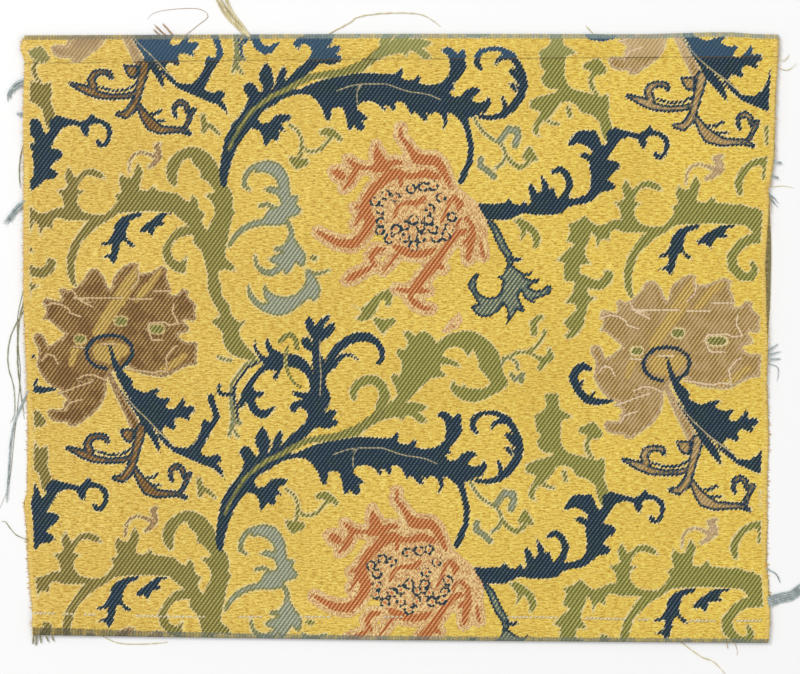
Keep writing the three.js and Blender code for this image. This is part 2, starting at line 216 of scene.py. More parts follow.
NAVY_FIGURES: tuple[Leaf | Stem, ...] = (
    Leaf(
        "258,104 268,97 278,92 290,90 300,89 310,84 322,80 335,77 347,75 358,73 372,73 386,74 395,74"
        " 399,70 401,67 403,71 401,77 405,80 414,80 418,75 421,77 419,83 427,85 437,84 444,81 449,75"
        " 450,66 449,58 446,54 441,52 443,48 448,47 453,49 457,54 460,51 464,49 466,55 465,61 467,65"
        " 464,72 459,79 453,84 455,89 449,92 453,97 461,96 466,90 472,87 479,88 481,92 475,95 471,100"
        " 478,103 485,101 488,96 491,101 489,108 483,112 476,116 466,119 460,121 455,116 449,112"
        " 447,115 448,121 444,130 442,129 444,122 441,115 435,111 431,115 425,112 428,118 425,122"
        " 420,117 415,111 411,116 408,109 405,104 400,101 395,103 396,110 393,111 389,106 384,104"
        " 386,109 384,112 379,105 371,101 362,102 357,105 358,110 364,114 369,119 362,121 365,126"
        " 363,131 357,130 354,125 352,130 348,130 346,118 343,108 336,107 332,109 331,119 328,122"
        " 325,118 322,109 317,101 310,95 300,94 290,96 279,101 268,108 261,113 258,119 262,124 270,122"
        " 276,115 284,114 292,115 289,121 281,123 283,127 287,133 279,130 280,138 276,142 272,138"
        " 268,144 264,147 263,138 260,131 252,128 245,135 238,146 233,158 229,172 226,189 221,186"
        " 219,175 221,158 225,138 232,124 240,115 246,105 249,97 260,92 272,89 283,88 276,94"
    ),
    Leaf("244,91 243,86 248,82 253,83 257,88 259,93 264,90 262,100 250,104 248,97"),
    Leaf("266,62 271,68 274,78 273,86 270,92 262,92 263,86 259,80 259,74 262,67"),
    Leaf("284,65 287,71 285,79 282,87 276,92 272,90 276,82 278,74 281,69"),
    Leaf("519,85 514,78 508,72 512,68 518,71 522,78"),
    Leaf("518,95 511,88 508,84 512,82 519,87"),
    Leaf(
        "309,316 313,320 315,326 318,323 322,318 327,315 331,314 329,319 324,325 323,329 328,325"
        " 333,322 335,323 335,329 332,334 326,339 320,343 319,349 322,356 325,361 331,366 328,373"
        " 326,378 326,386 329,391 331,398 329,405 323,413 330,410 337,410 336,414 331,419 338,420"
        " 337,425 331,428 325,429 319,427 314,429 308,434 301,442 293,450 284,459 272,468 262,474"
        " 270,463 280,455 284,449 291,441 299,432 305,423 308,416 306,411 302,408 299,407 296,410"
        " 295,414 291,411 289,408 291,404 295,401 302,400 301,398 295,397 292,393 293,391 300,392"
        " 307,393 309,391 310,385 312,376 313,368 312,360 312,352 309,351 304,348 301,343 302,339"
        " 306,336 310,339 312,344 312,338 308,332 305,326 305,321"
    ),
    Leaf("287,353 298,355 307,361 312,370 313,384 310,388 309,381 305,374 297,368 287,367"),
    Leaf(
        "255,339 257,348 261,354 266,357 269,356 270,355 267,351 265,344 266,340 268,337 270,343"
        " 273,349 278,351 284,354 284,367 281,371 279,375 277,378 275,381 272,377 274,374 277,371"
        " 271,370 266,370 262,374 258,377 255,382 253,388 257,392 263,391 265,394 261,397 256,398"
        " 255,401 257,406 261,410 266,410 271,407 277,406 273,411 268,417 261,419 255,416 249,410"
        " 248,405 246,402 244,405 242,409 239,407 239,402 241,394 245,385 251,377 258,370 264,364"
        " 262,362 259,358 255,352 253,346"
    ),
    Leaf(
        "567,145 571,138 576,132 583,130 590,131 595,130 599,137 602,146 607,143 606,133 614,127"
        " 623,130 632,132 639,134 645,130 650,125 653,130 661,132 668,137 670,145 667,154 662,160"
        " 655,159 652,153 656,151 660,156 664,150 664,142 658,136 650,136 646,139 647,143 644,150"
        " 640,146 637,139 629,137 620,140 615,147 610,155 607,160 615,161 620,164 619,169 612,174"
        " 607,180 613,183 616,187 610,191 600,192 592,196 586,202 585,197 590,188 591,177 589,167"
        " 592,151 586,146 578,143 572,146"
    ),
    Leaf("578,155 585,152 591,156 594,160 592,165 586,160 580,157"),
    Leaf(
        "477,203 490,204 505,203 509,198 513,204 521,205 525,200 528,206 531,202 529,193 528,185"
        " 531,183 535,188 538,195 542,190 541,181 540,173 544,178 548,184 549,190 553,187 555,192"
        " 557,198 566,199 577,198 585,195 592,189 594,175 602,190 599,195 593,200 586,204 575,205"
        " 567,208 562,213 552,215 535,215 524,213 517,216 509,220 497,220 487,220 481,211"
    ),
    Leaf(
        "673,381 682,392 691,400 702,405 709,402 718,400 723,402 717,404 714,407 721,410 727,411"
        " 732,409 734,411 729,417 730,421 737,421 743,415 747,409 749,414 747,419 753,418 757,418"
        " 759,422 755,426 752,427 754,431 752,433 746,430 740,429 737,434 740,439 737,442 730,439"
        " 728,437 726,441 723,444 729,449 735,455 725,450 710,437 698,425 688,412 680,400 673,388"
    ),
    Leaf(
        "163,69 171,76 178,83 191,84 198,79 204,69 206,57 209,55 212,59 216,56 217,50 212,38 211,30"
        " 217,30 221,44 224,53 220,60 215,68 210,77 206,84 205,90 213,93 221,90 225,93 225,97 221,100"
        " 226,105 229,117 225,112 218,105 207,101 193,95 177,88 168,80 161,71"
    ),
    Leaf(
        "143,212 133,213 122,217 115,224 113,233 108,241 100,244 102,246 109,245 112,243 111,253"
        " 104,256 101,258 109,258 111,261 113,265 117,258 119,250 121,241 125,241 130,247 136,247"
        " 134,244 128,240 126,235 127,229 130,221 136,218 142,216"
    ),
    Leaf(
        "172,213 160,213 154,218 147,223 139,230 142,233 147,231 150,234 153,237 154,231 156,226"
        " 161,226 166,225 162,221 165,216 171,215"
    ),
    Stem(
        "481,69 477,64 477,57 482,51 490,49 500,49 509,54 517,63 523,75 524,86 520,97 512,108 503,115"
        " 492,118 480,117",
        "4 6 6 5 4 5 7 7 7 8 9 8 7 5 4",
    ),
    Stem("513,56 504,57 498,60 495,65", "7 6 4 2"),
    Stem("505,113 505,105 502,97", "5 5 3"),
    Stem("484,112 489,104 488,98", "4 4 3"),
    Stem("463,116 468,131 471,146 470,160 461,181", "8 6 6 6 7"),
    Stem("316,60 303,71 290,83 277,94 263,105", "11 11 10 9 9"),
    Stem(
        "329,370 331,358 338,348 347,341 357,337 368,337 377,342 382,351 382,359 378,363",
        "6 9 9 9 10 9 7 6 5 4",
    ),
    Stem("333,366 338,359 345,355 352,355 358,360", "6 5 4 3 2"),
    Stem("553,172 560,169 566,174 570,183 567,193 562,200", "5 6 7 7 7 8"),
    Stem(
        "663,381 652,378 645,371 643,363 647,355 655,349 667,347 679,349 688,356 690,364 686,373"
        " 679,379",
        "4 4 4 4 4 4 4 4 4 4 4 4",
    ),
    Stem("667,358 669,366 672,376 678,387 684,395", "3 4 6 8 12"),
    Stem("678,402 688,416 697,428 705,440 713,450 718,459 721,465", "2 4 5 8 7 4 1"),
    Stem("590,369 583,366 576,370 573,378 578,390 587,400 598,402 612,401", "5 8 8 9 8 8 7 3"),
    Stem("583,381 578,388", "3 4"),
    Stem("594,392 590,399", "3 4"),
    Stem("257,363 248,367 242,375 236,383 234,390 234,398 236,407 238,420", "3 3 3 3 3 3 3 3"),
    Stem("231,394 225,395 219,393 218,388 220,385", "4 4 4 3 3"),
    Stem("100,87 113,91 126,90 135,85", "3 3 3 3"),
    Stem("150,114 156,114 161,110", "3 3 3"),
    Stem("156,121 164,121", "3 3"),
    Stem("510,258 516,260 521,259", "4 4 3"),
)

OLIVE_FIGURES: tuple[Leaf | Stem, ...] = (
    Stem(
        "247,116 258,106 272,96 286,90 298,83 311,77 325,74 341,72 352,68 361,65 370,60 377,55 384,50",
        "4 4 5 5 6 6 6 6 7 8 9 10 12",
    ),
    Stem("229,150 233,140 241,126 248,116", "3 3 3 3"),
    Stem("288,347 285,356 286,366 289,375 294,383 300,387", "3 3 3 3 3 3"),
    Stem("280,341 284,337 291,334 296,340 297,348", "5 5 5 5 5"),
)

GREEN_FIGURES: tuple[Leaf | Stem, ...] = (
    Leaf(
        "549,30 562,30 563,45 577,53 565,56 564,75 567,84 572,89 579,91 590,94 600,97 608,94 609,108"
        " 607,112 611,123 613,133 606,142 602,134 600,122 592,115 581,112 576,104 568,101 561,102"
        " 557,108 551,116 544,120 539,126 538,133 541,137 537,136 533,133 533,127 537,120 541,112"
        " 539,111 530,108 530,101 539,97 558,92 558,88 550,89 544,85 541,78 546,71 541,67 540,57"
        " 539,52 549,46 551,42"
    ),
    Leaf(
        "585,216 591,222 597,226 604,225 614,220 622,220 620,209 614,202 620,202 625,198 622,188"
        " 626,179 629,185 632,191 636,187 642,182 650,181 659,185 663,191 657,190 648,187 641,188"
        " 635,196 634,202 641,203 634,208 634,216 640,224 650,227 662,227 669,221 675,213 672,207"
        " 679,204 676,194 678,185 683,190 689,190 692,183 695,175 700,184 697,194 696,202 706,203"
        " 713,197 716,203 728,204 741,206 748,212 753,216 756,207 761,212 762,224 761,235 753,232"
        " 745,225 731,224 709,223 687,224 675,225 667,231 656,237 646,246 638,254 634,265 631,276"
        " 632,291 634,300 629,296 625,287 624,272 628,257 635,246 642,236 648,232 634,232 624,232"
        " 616,229 610,231 609,241 604,238 600,240 597,248 596,237 591,231 589,240 585,248 585,256"
        " 591,264 580,264 579,272 585,279 586,289 589,296 597,298 588,302 587,309 584,318 584,324"
        " 577,335 568,339 564,336 571,331 563,322 571,316 577,309 575,303 565,303 573,293 575,281"
        " 565,281 564,272 565,263 557,260 568,250 575,244 567,241 571,230 568,225 578,221"
    ),
    Stem("584,279 591,284 600,285 607,280 609,275 606,272", "8 9 9 9 8 4"),
    Leaf(
        "174,187 168,180 166,170 170,159 178,152 189,147 199,148 209,154 217,164 221,175 226,185"
        " 231,191 233,200 232,208 235,212 232,217 230,225 228,238 225,251 225,258 232,264 236,271"
        " 224,269 218,271 218,278 221,285 221,295 229,305 231,315 239,323 246,320 239,329 239,336"
        " 243,342 248,348 253,353 258,358 252,360 245,359 238,357 231,354 226,348 223,341 223,333"
        " 219,328 212,322 221,315 213,302 208,289 208,275 205,262 202,251 193,242 195,235 187,235"
        " 177,238 170,248 173,259 181,263 187,256 185,274 173,270 165,262 162,250 169,238 178,228"
        " 189,226 191,227 182,220 174,214 187,201 197,208 205,214 201,222 207,232 210,224 215,216"
        " 215,208 211,200 204,195 216,193 214,189 207,181 201,178 201,171 193,163 191,157 183,160"
        " 178,169 177,177 177,185",
        (0,),
    ),
    Stem("740,193 738,184 741,175 747,167 756,162 770,160", "5 7 7 6 6 7", (0,)),
    Stem("764,163 766,170 763,178", "7 5 3", (0,)),
    Stem("778,226 760,222 748,214 740,208", "24 22 14 8", (0,)),
    Stem(
        "764,238 749,239 740,245 732,255 733,267 741,276 751,277 755,270 752,263",
        "10 9 9 8 9 9 7 6 4",
        (0,),
    ),
    Leaf(
        "513,220 520,218 529,223 537,230 541,239 538,246 533,249 534,242 531,234 527,230 524,236"
        " 520,241 522,232 518,225"
    ),
    Leaf(
        "403,332 410,331 414,337 420,333 424,331 430,335 435,340 437,346 440,340 450,334 463,331"
        " 475,332 485,338 492,344 498,352 501,362 503,373 508,381 507,386 500,391 492,395 485,399"
        " 474,402 463,400 455,395 450,388 453,380 456,385 462,388 464,383 466,388 473,389 484,389"
        " 491,383 488,378 484,373 479,368 479,361 475,353 473,348 469,357 466,353 462,348 455,346"
        " 446,349 441,355 449,359 457,362 461,368 455,366 447,364 440,364 440,370 447,376 438,377"
        " 431,378 425,383 419,389 411,397 404,404 412,402 421,404 428,407 422,411 417,412 424,417"
        " 428,422 420,423 413,417 406,414 402,421 399,417 394,417 382,420 371,425 358,436 343,439"
        " 330,442 312,443 324,439 338,434 347,433 359,429 366,422 372,415 378,413 387,405 398,396"
        " 396,388 391,378 394,373 399,378 402,370 402,361 396,353 399,348 404,351 409,343"
    ),
    Stem("354,398 353,391 358,384 366,380 375,380 382,386 385,396 380,408", "5 7 8 9 9 9 10 9"),
    Leaf(
        "352,305 360,310 368,303 378,294 389,289 393,295 390,306 386,306 385,299 380,300 377,309"
        " 370,319 361,321 355,318 364,313"
    ),
    Leaf("375,317 384,320 394,318 396,322 389,327 383,335 378,328 373,320"),
    Leaf("309,258 313,255 319,257 315,262"),
    Stem("586,66 592,68 597,63", "6 6 6"),
    Stem("592,68 600,72", "6 6"),
    Stem("594,72 590,80 591,87 597,94", "3 3 3 3"),
    Stem("568,108 570,116", "4 4"),
    Stem("546,120 552,123 558,124", "3 3 3"),
    Stem("507,157 512,163 520,168 527,164 530,158", "4 4 4 4 4"),
    Stem("525,157 529,149 535,159", "5 5 5"),
    Stem("290,125 298,131 302,140 301,151 299,160", "3 3 3 3 4"),
    Leaf(
        "289,156 295,157 299,160 307,158 309,162 306,166 299,168 297,170 293,166 290,162"
    ),
    Stem("301,145 307,151 313,152 321,149 327,142 332,137", "2 3 3 3 3 3"),
    Leaf(
        "319,131 326,128 332,128 338,133 343,139 339,142 335,137 330,137 326,135 321,135"
    ),
    Stem("509,357 518,352 528,352 537,346 543,337 545,331", "3 3 3 3 3 3"),
    Stem("532,323 536,320 541,317", "5 5 5"),
    Stem("534,326 534,333", "6 6"),
    Stem("530,353 537,357 544,361 551,357 549,349", "3 3 7 6 3"),
    Stem("544,362 540,368", "5 5"),
    Stem("33,53 40,50 46,58", "7 7 7"),
    Stem("37,62 34,68 36,76", "3 3 3"),
    Stem("203,116 204,124 204,131", "5 5 5"),
    Stem("205,124 212,127 219,134", "4 4 3"),
)

GREY_FIGURES: tuple[Leaf | Stem, ...] = (
    Stem("474,117 478,125 484,133 492,139 500,143 504,149 506,155 503,163 496,168", "3 3 3 3 3 3 3 3 3"),
    Stem("500,141 505,134 509,128", "6 6 6"),
    Stem("509,130 517,130 518,137 515,145", "7 7 7 7"),
    Stem("481,159 480,166 488,171 494,177", "6 6 6 6"),
    Stem("501,366 504,358 511,358 517,363 518,369", "3 3 3 3 3"),
    Stem("511,374 515,380 523,374 521,382", "4 4 4 4"),
    Stem("218,357 226,360 231,360", "3 3 3"),
    Leaf(
        "256,163 268,160 279,163 285,170 289,178 290,187 291,196 296,195 299,197 296,203 302,210"
        " 299,215 292,217 287,219 291,223 294,231 294,237 300,246 306,254 306,262 302,268 296,262"
        " 290,272 285,275 281,266 272,263 268,259 277,254 283,252 274,251 274,247 282,246 287,240"
        " 289,232 286,224 277,226 264,225 253,228 264,217 268,209 275,207 281,205 280,200 277,195"
        " 270,193 263,190 270,186 279,188 276,180 271,175 263,172 255,173"
    ),
    Stem("250,190 244,186 245,178 249,170 256,166 264,165", "3 4 5 5 6 7"),
    Stem("229,246 235,236 243,229 253,224 264,222 277,222", "3 5 6 6 7 8"),
    Stem("260,206 267,204 273,207", "4 4 4"),
    Stem("255,256 257,266 264,272 271,273 277,270 283,265", "3 4 6 7 7 7"),
    Leaf(
        "306,268 311,270 314,275 319,283 321,290 319,297 314,302 310,298 303,303 297,308 290,313"
        " 280,316 272,315 262,311 253,304 248,296 247,288 249,284 251,291 256,298 262,303 268,303"
        " 264,297 263,289 265,283 268,290 275,295 285,297 296,294 303,287 306,280 305,274"
    ),
    Stem("308,271 315,274 322,273 330,270", "3 4 3 2"),
    Stem("262,361 254,361 246,364 239,373 233,381 231,389 231,397 231,405 232,414", "3 3 3 3 3 3 3 3 3"),
    Stem("236,30 237,45 237,58 233,72", "6 5 4 3"),
    Stem("235,60 239,69 242,73", "3 3 3"),
    Stem("237,57 244,59", "5 4"),
)

PENDANT_FIGURES: tuple[Leaf | Stem, ...] = (
    Stem("490,222 495,229 499,238 503,247 508,254 510,262", "5 7 8 8 7 7"),
    Leaf(
        "508,263 514,267 519,271 525,274 534,271 530,275 524,277 531,280 539,279 539,282 532,284"
        " 528,287 536,291 541,290 549,285 552,287 549,294 541,297 533,299 536,303 530,302 524,297"
        " 521,290 518,295 521,304 525,309 522,312 517,309 514,315 509,322 506,325 508,318 507,309"
        " 503,303 499,310 491,316 482,317 475,313 471,307 475,305 479,304 474,296 470,290 468,285"
        " 471,279 475,274 479,274 476,282 476,289 481,295 488,298 496,297 501,293 502,285 504,281"
        " 498,277 502,275 505,271"
    ),
)

CORAL_FIGURES: tuple[Leaf | Stem, ...] = (
    Stem(
        "401,128 400,136 406,143 412,152 417,159 426,160 434,160 440,165 445,175 450,186",
        "3 3 4 6 10 10 9 8 6 3",
    ),
    Leaf("376,144 380,151 386,160 390,168 384,172 372,172 374,162 374,153"),
    Stem("388,166 394,162 402,163", "7 5 3"),
    Leaf("332,171 338,169 344,173 347,179 341,180 335,177"),
    Stem("349,160 353,164 357,167 366,168 374,168", "3 5 6 3 4"),
    Stem("357,168 353,176 349,183 344,188", "5 6 5 3"),
    Stem(
        "437,177 426,173 416,176 407,176 398,173 390,175 382,182 374,189 367,200 365,211 371,221"
        " 366,231 360,239 352,244 339,243 328,238 318,232",
        "6 8 6 5 9 11 9 9 9 11 10 9 8 9 7 5 3",
    ),
    Stem("401,178 401,186", "5 3"),
    Stem("363,205 355,208", "4 2"),
    Stem("361,214 355,225", "4 2"),
    Stem("384,249 376,250 371,256 373,263 376,266", "3 6 5 4 3"),
    Stem("370,268 360,273 352,277 347,280", "4 6 7 3"),
    Stem("394,246 401,250 409,253 419,254 429,252 435,249", "4 8 8 7 7 3"),
    Stem("397,254 390,263 383,271", "4 3 2"),
    Stem("465,231 458,233 449,243 440,256 433,266 423,278 415,289", "5 6 7 8 10 9 9"),
    Stem("436,264 443,268", "6 4"),
    Stem("397,289 407,291 417,290 428,291", "3 4 6 3"),
    Stem("412,292 410,298 415,303 423,308 431,309", "5 4 6 4 3"),
    Stem("454,197 460,204 458,210", "4 7 3"),
    Stem("466,218 472,225 473,236 470,247 468,259", "4 4 6 7 4"),
    Stem("463,243 471,237", "3 4"),
    Stem("481,243 483,256", "3 3"),
    Stem("460,219 457,226", "3 3"),
    Stem("450,200 446,213 441,222", "3 3 3"),
    Stem("424,198 417,203 404,203 398,207 394,217", "4 6 3 3 3"),
)

PEACH_FIGURES: tuple[Leaf | Stem, ...] = (
    Leaf(
        "378,185 395,172 420,166 445,168 456,185 472,198 484,208 488,225 487,245 484,262 476,258"
        " 472,262 466,268 462,258 466,245 460,238 450,250 440,243 425,246 405,246 388,240 372,228"
        " 372,205"
    ),
    Leaf("459,311 463,320 458,328 447,334 441,332 449,322"),
)

SEED_CENTRES = (
    "423,187 411,189 433,186 396,198 386,195 375,202 381,210 381,222 380,231 389,239 405,238 421,238"
    " 436,238 446,236 449,228 452,217 405,226 413,220 396,229 421,227 429,220 430,209 441,198 413,246 433,229"
)

BROWN_FIGURES: tuple[Leaf | Stem, ...] = (
    Leaf(
        "648,281 654,281 661,289 663,295 666,302 669,299 670,292 674,284 682,278 689,275 696,276"
        " 694,284 696,286 707,285 717,281 724,278 731,281 729,289 732,295 734,302 732,306 737,308"
        " 742,306 746,301 752,303 751,309 757,314 760,318 758,324 760,330 757,333 749,331 746,333"
        " 752,339 753,343 746,345 740,346 745,352 751,355 758,354 761,355 760,365 760,377 752,377"
        " 743,381 733,387 724,389 713,388 699,386 691,381 685,377 676,382 669,383 666,385 663,391"
        " 663,403 660,413 655,421 648,427 642,431 633,438 625,438 625,434 614,434 607,431 604,424"
        " 608,421 614,422 622,421 620,415 625,412 622,409 617,405 619,402 610,399 603,393 597,384"
        " 594,377 596,366 595,359 591,353 591,347 595,345 600,347 603,353 604,359 611,356 619,350"
        " 623,346 619,343 611,336 605,331 600,331 603,325 604,319 600,315 602,310 610,312 616,314"
        " 619,309 616,302 620,300 625,303 630,302 636,297 642,290 645,284"
    ),
)

STALK_FIGURES: tuple[Leaf | Stem, ...] = (
    Stem("664,380 668,390 673,401 680,414 687,427 693,440", "4 5 6 8 9 10"),
    Stem("129,172 130,161 134,155 142,152 151,155 157,158", "2 2 2 2 3 4"),
    Stem("160,144 156,146 159,152 159,158 154,164 149,167", "3 4 5 5 4 3"),
)

GOLD_FIGURES: tuple[Leaf | Stem, ...] = (
    Stem("697,280 686,296 676,312 665,328 655,344", "10 14 14 12 12"),
    Stem("720,284 706,298 694,312", "6 8 6"),
    Stem("655,362 668,358 680,362 668,370 656,368", "12 12 12 12 10"),
    Stem("640,352 632,362 628,376", "6 8 6"),
    Stem("700,392 716,386 734,378 748,368", "4 6 8 6"),
)

FLOWER_SPOTS: tuple[Leaf | Stem, ...] = (
    Stem("635,351 639,351", "7 7"),
    Stem("676,333 680,333", "8 8"),
    Stem("713,341 721,341", "8 8"),
)

BRANCH_FIGURES: tuple[Leaf | Stem, ...] = (
    Stem("145,64 143,74 140,85 138,94 136,101 132,109 126,115 118,114", "11 10 9 8 8 9 8 5"),
    Stem("136,93 127,96 112,97 98,95 86,90 77,86 71,84", "5 6 6 8 9 6 4"),
    Stem("94,88 91,80 94,74 101,72 109,73 111,77", "8 8 7 6 6 5"),
    Leaf("123,65 138,65 138,73 136,79 130,78 126,73"),
    Stem("139,106 146,118 152,125 160,130 171,130 181,130 190,134", "6 10 13 9 7 6 4"),
    Stem("186,127 190,117 194,110", "5 5 5"),
    Stem("188,112 186,105 181,102 175,105 174,112 176,117", "5 6 6 5 4 3"),
)

FLOWER_SEAMS: tuple[str, ...] = (
    "602,318 610,315 619,317 626,321 627,325 636,328",
    "633,310 654,310 677,310",
    "689,311 707,311",
    "715,303 732,303",
    "705,341 707,335 727,334 732,337 740,336",
    "705,341 710,352 721,352",
    "740,331 736,324 737,318",
    "633,359 645,360",
    "686,381 699,383 714,385 720,383 729,384",
    "730,377 729,369 735,362 739,359",
    "636,390 642,387 651,387 660,391",
    "617,405 626,402 633,399 648,394",
    "622,421 626,415 636,412",
    "600,371 604,366 611,368 614,374",
    "630,303 636,312 648,318",
    "696,286 695,293 689,300",
    "661,356 671,356",
)

VEINS: tuple[str, ...] = (
    "339,90 350,86 361,84 386,84 395,87 403,90 411,92 420,93 430,95 439,99",
    "357,100 357,92 360,87",
    "320,342 320,360 321,375 320,393",
    "676,396 683,409 693,421 704,431 716,441 728,450 738,457",
    "514,82 517,90",
)

LEFT_TUFT_YARNS: tuple[LooseYarn, ...] = (
    LooseYarn("-182,125.4 -186.4,123.4 -189.6,119.6 -191,114.6", 5, 1.5),
    LooseYarn("-182,123.6 -186,121.8 -188.6,119 -189.4,116", 4, 1.2),
    LooseYarn("-182,108.8 -186.2,108.2", 5, 1.5),
    LooseYarn("-182,66.2 -186,63.6 -189.2,59.6 -192.4,55", 5, 1.5),
    LooseYarn("-182,64.6 -185.8,61.8 -188.4,58.6 -190.4,55.2", 4, 1.2),
    LooseYarn("-180.5,-26 -186.4,-38.4 -189.1,-49.5 -190,-61.7 -190.7,-71.9 -191.2,-80.6", 3, 1.0),
)

LEFT_LONG_YARNS: tuple[LooseYarn, ...] = (
    LooseYarn("-182.4,94.6 -184.4,89 -185.2,80 -184.4,70", 2, 0.6),
    LooseYarn("-181,23.4 -184.4,12.5 -185.8,2 -186,-12 -184.6,-26 -182.6,-40", 2, 0.7),
    LooseYarn("-181,16 -187,6 -190.2,-3 -190.6,-14 -188,-24 -187.4,-36 -189.4,-42", 2, 0.55),
    LooseYarn("-181.4,30 -186,10 -185.6,-6 -184.8,-20 -187.8,-50 -190.4,-72 -197,-88.2", 1, 0.32),
    LooseYarn("-180.5,-98.6 -186.2,-96.6 -190,-92.6 -192.4,-89.6 -196.6,-91.4", 2, 0.5),
)

RIGHT_PALE_YARNS: tuple[LooseYarn, ...] = (
    LooseYarn("183,134 187.9,135.2 190.4,139.8", 2, 0.5),
    LooseYarn("182.5,131.4 188.6,129.8 193,133.2", 2, 0.5),
    LooseYarn("178.5,73 186,73.4 191.8,72.6", 2, 0.35),
)

RIGHT_DARK_YARNS: tuple[LooseYarn, ...] = (
    LooseYarn("181,85.4 185.6,84.6", 4, 1.1),
    LooseYarn("179.5,78.4 184,77.4", 4, 1.1),
    LooseYarn("178.5,70.6 184.6,65", 3, 0.9),
    LooseYarn("178.8,69.2 183.6,62.8", 3, 0.9),
    LooseYarn("178,-7.4 184,-3.4", 3, 0.8),
    LooseYarn("178,-9.2 185.4,-6.8", 3, 0.8),
    LooseYarn("178,-11 185,-10.6", 3, 0.8),
    LooseYarn("178,-12.8 183.8,-15 183.4,-23.3", 2, 0.5),
    LooseYarn("178,-112.4 183,-115.4 184.8,-119.6", 3, 0.7),
    LooseYarn("178.5,-126.8 184.5,-124.8 189.9,-123.6 194.2,-120.6 198.5,-118.4 203,-117.6", 3, 0.8),
    LooseYarn("178.6,-127.9 184.6,-125.9 190,-124.7 194.4,-121.7 198.7,-119.5 203,-118.7", 3, 0.8),
    LooseYarn("178.7,-129 184.7,-127 190.1,-125.8 194.6,-122.8 198.9,-120.6 203,-119.8", 3, 0.8),
    LooseYarn("178.8,-130.1 184.8,-128.1 190.2,-126.9 194.8,-123.9 199.1,-121.7 202.6,-121", 3, 0.8),
    LooseYarn("178.9,-131.2 184.9,-129.2 190.3,-128 195,-125 199.3,-122.8 202,-122.2", 3, 0.8),
)

TOP_TAN_YARNS: tuple[LooseYarn, ...] = (
    LooseYarn("-109.3,145.5 -117,154.2", 3, 0.9),
    LooseYarn("-112.6,145.5 -119.7,151.9", 3, 0.8),
    LooseYarn("-115.4,145.5 -119.9,149.6", 3, 0.7),
    LooseYarn("-106,145.5 -98.6,151.4 -93.4,156 -98,159.6 -110.7,159.4 -119.6,157.6 -123.8,153.6", 1, 0.25),
)

TOP_TUFT_YARNS: tuple[LooseYarn, ...] = (
    LooseYarn("-73.4,145.6 -78.4,151.2 -83.6,156.6 -88.4,166", 6, 1.6),
    LooseYarn("-72.8,145.6 -77,151.8 -82,158.6 -86,167.4", 5, 1.4),
    LooseYarn("-73.8,145.6 -79.4,150.6 -85.6,157.2 -90.6,167", 4, 1.0),
    LooseYarn("-72.2,145.6 -76.6,151 -81.6,156.2 -87.4,164.4", 3, 0.7),
)

TOP_ARC_YARNS: tuple[LooseYarn, ...] = (
    LooseYarn("-38.4,145.6 -25.3,152.4 -19.9,155.8 -6.8,157.5 7.8,157.3 14.6,154.8 21.6,149.4", 2, 0.6),
)

TOP_SHORT_YARNS: tuple[LooseYarn, ...] = (LooseYarn("95.7,145.6 88.4,153.4", 2, 0.6),)

CORNER_YARNS: tuple[LooseYarn, ...] = (
    LooseYarn("-177.8,-144 -179,-151.8", 3, 0.9),
    LooseYarn("-176.4,-144 -177,-150", 3, 0.8),
    LooseYarn("-174.8,-144 -174.6,-148.8", 3, 0.8),
    LooseYarn("-172.4,-144 -171,-148.2", 3, 0.8),
    LooseYarn("-169.6,-144 -168.4,-147.8", 3, 0.8),
)

BOWED_YARNS: tuple[LooseYarn, ...] = (
    LooseYarn("-147.6,-144 -138,-148.6 -127.2,-149.4 -116,-148.8 -110.6,-147.6", 2, 0.5),
)

BOTTOM_CREAM_YARNS: tuple[LooseYarn, ...] = (
    LooseYarn("134,-146.5 145.7,-155 153,-158.4 160,-166", 2, 0.6),
)

STUB_YARNS: tuple[LooseYarn, ...] = (
    LooseYarn("158.8,-146.5 159.3,-151.6", 2, 0.6),
    LooseYarn("162,-146.5 164.2,-153.4 162.6,-157.4", 1, 0.32),
)


def linear(red: float, green: float, blue: float) -> tuple[float, float, float, float]:
    """Turn a colour judged on a screen into a linear one.

    Args:
        red: Red, from 0 to 255.
        green: Green, from 0 to 255.
        blue: Blue, from 0 to 255.

    Returns:
        The linear colour with full cover.
    """
    parts = []
    for part in (red, green, blue):
        share = part / 255.0
        parts.append(share / 12.92 if share <= 0.04045 else ((share + 0.055) / 1.055) ** 2.4)
    return (parts[0], parts[1], parts[2], 1.0)


def chart_points(text: str) -> numpy.ndarray:
    """Read a chart line and give its points in millimetres on the cloth.

    Args:
        text: Points in chart steps, written "x,y x,y".

    Returns:
        The points as an array of rows.
    """
    steps = numpy.array([[float(part) for part in pair.split(",")] for pair in text.split()])
    across = (steps[:, 0] - CHART_MIDDLE[0]) * CHART_STEP
    upward = (CHART_MIDDLE[1] - steps[:, 1]) * CHART_STEP
    return numpy.stack([relaxed(across), upward], axis=1)


def relaxed(across: numpy.ndarray) -> numpy.ndarray:
    """Take back how far the weave is drawn out beside its right side.

    Args:
        across: Places across, in millimetres.

    Returns:
        Where they would stand in an even weave.
    """
    share = numpy.clip((across - DRAWN_FROM) / (DRAWN_TO - DRAWN_FROM), 0.0, 1.0)
    return across - DRAWN_OUT * share * share * (3.0 - 2.0 * share)


def millimetre_points(text: str) -> numpy.ndarray:
    """Read a path written in millimetres.

    Args:
        text: Points written "x,y x,y".

    Returns:
        The points as an array of rows.
    """
    return numpy.array([[float(part) for part in pair.split(",")] for pair in text.split()])


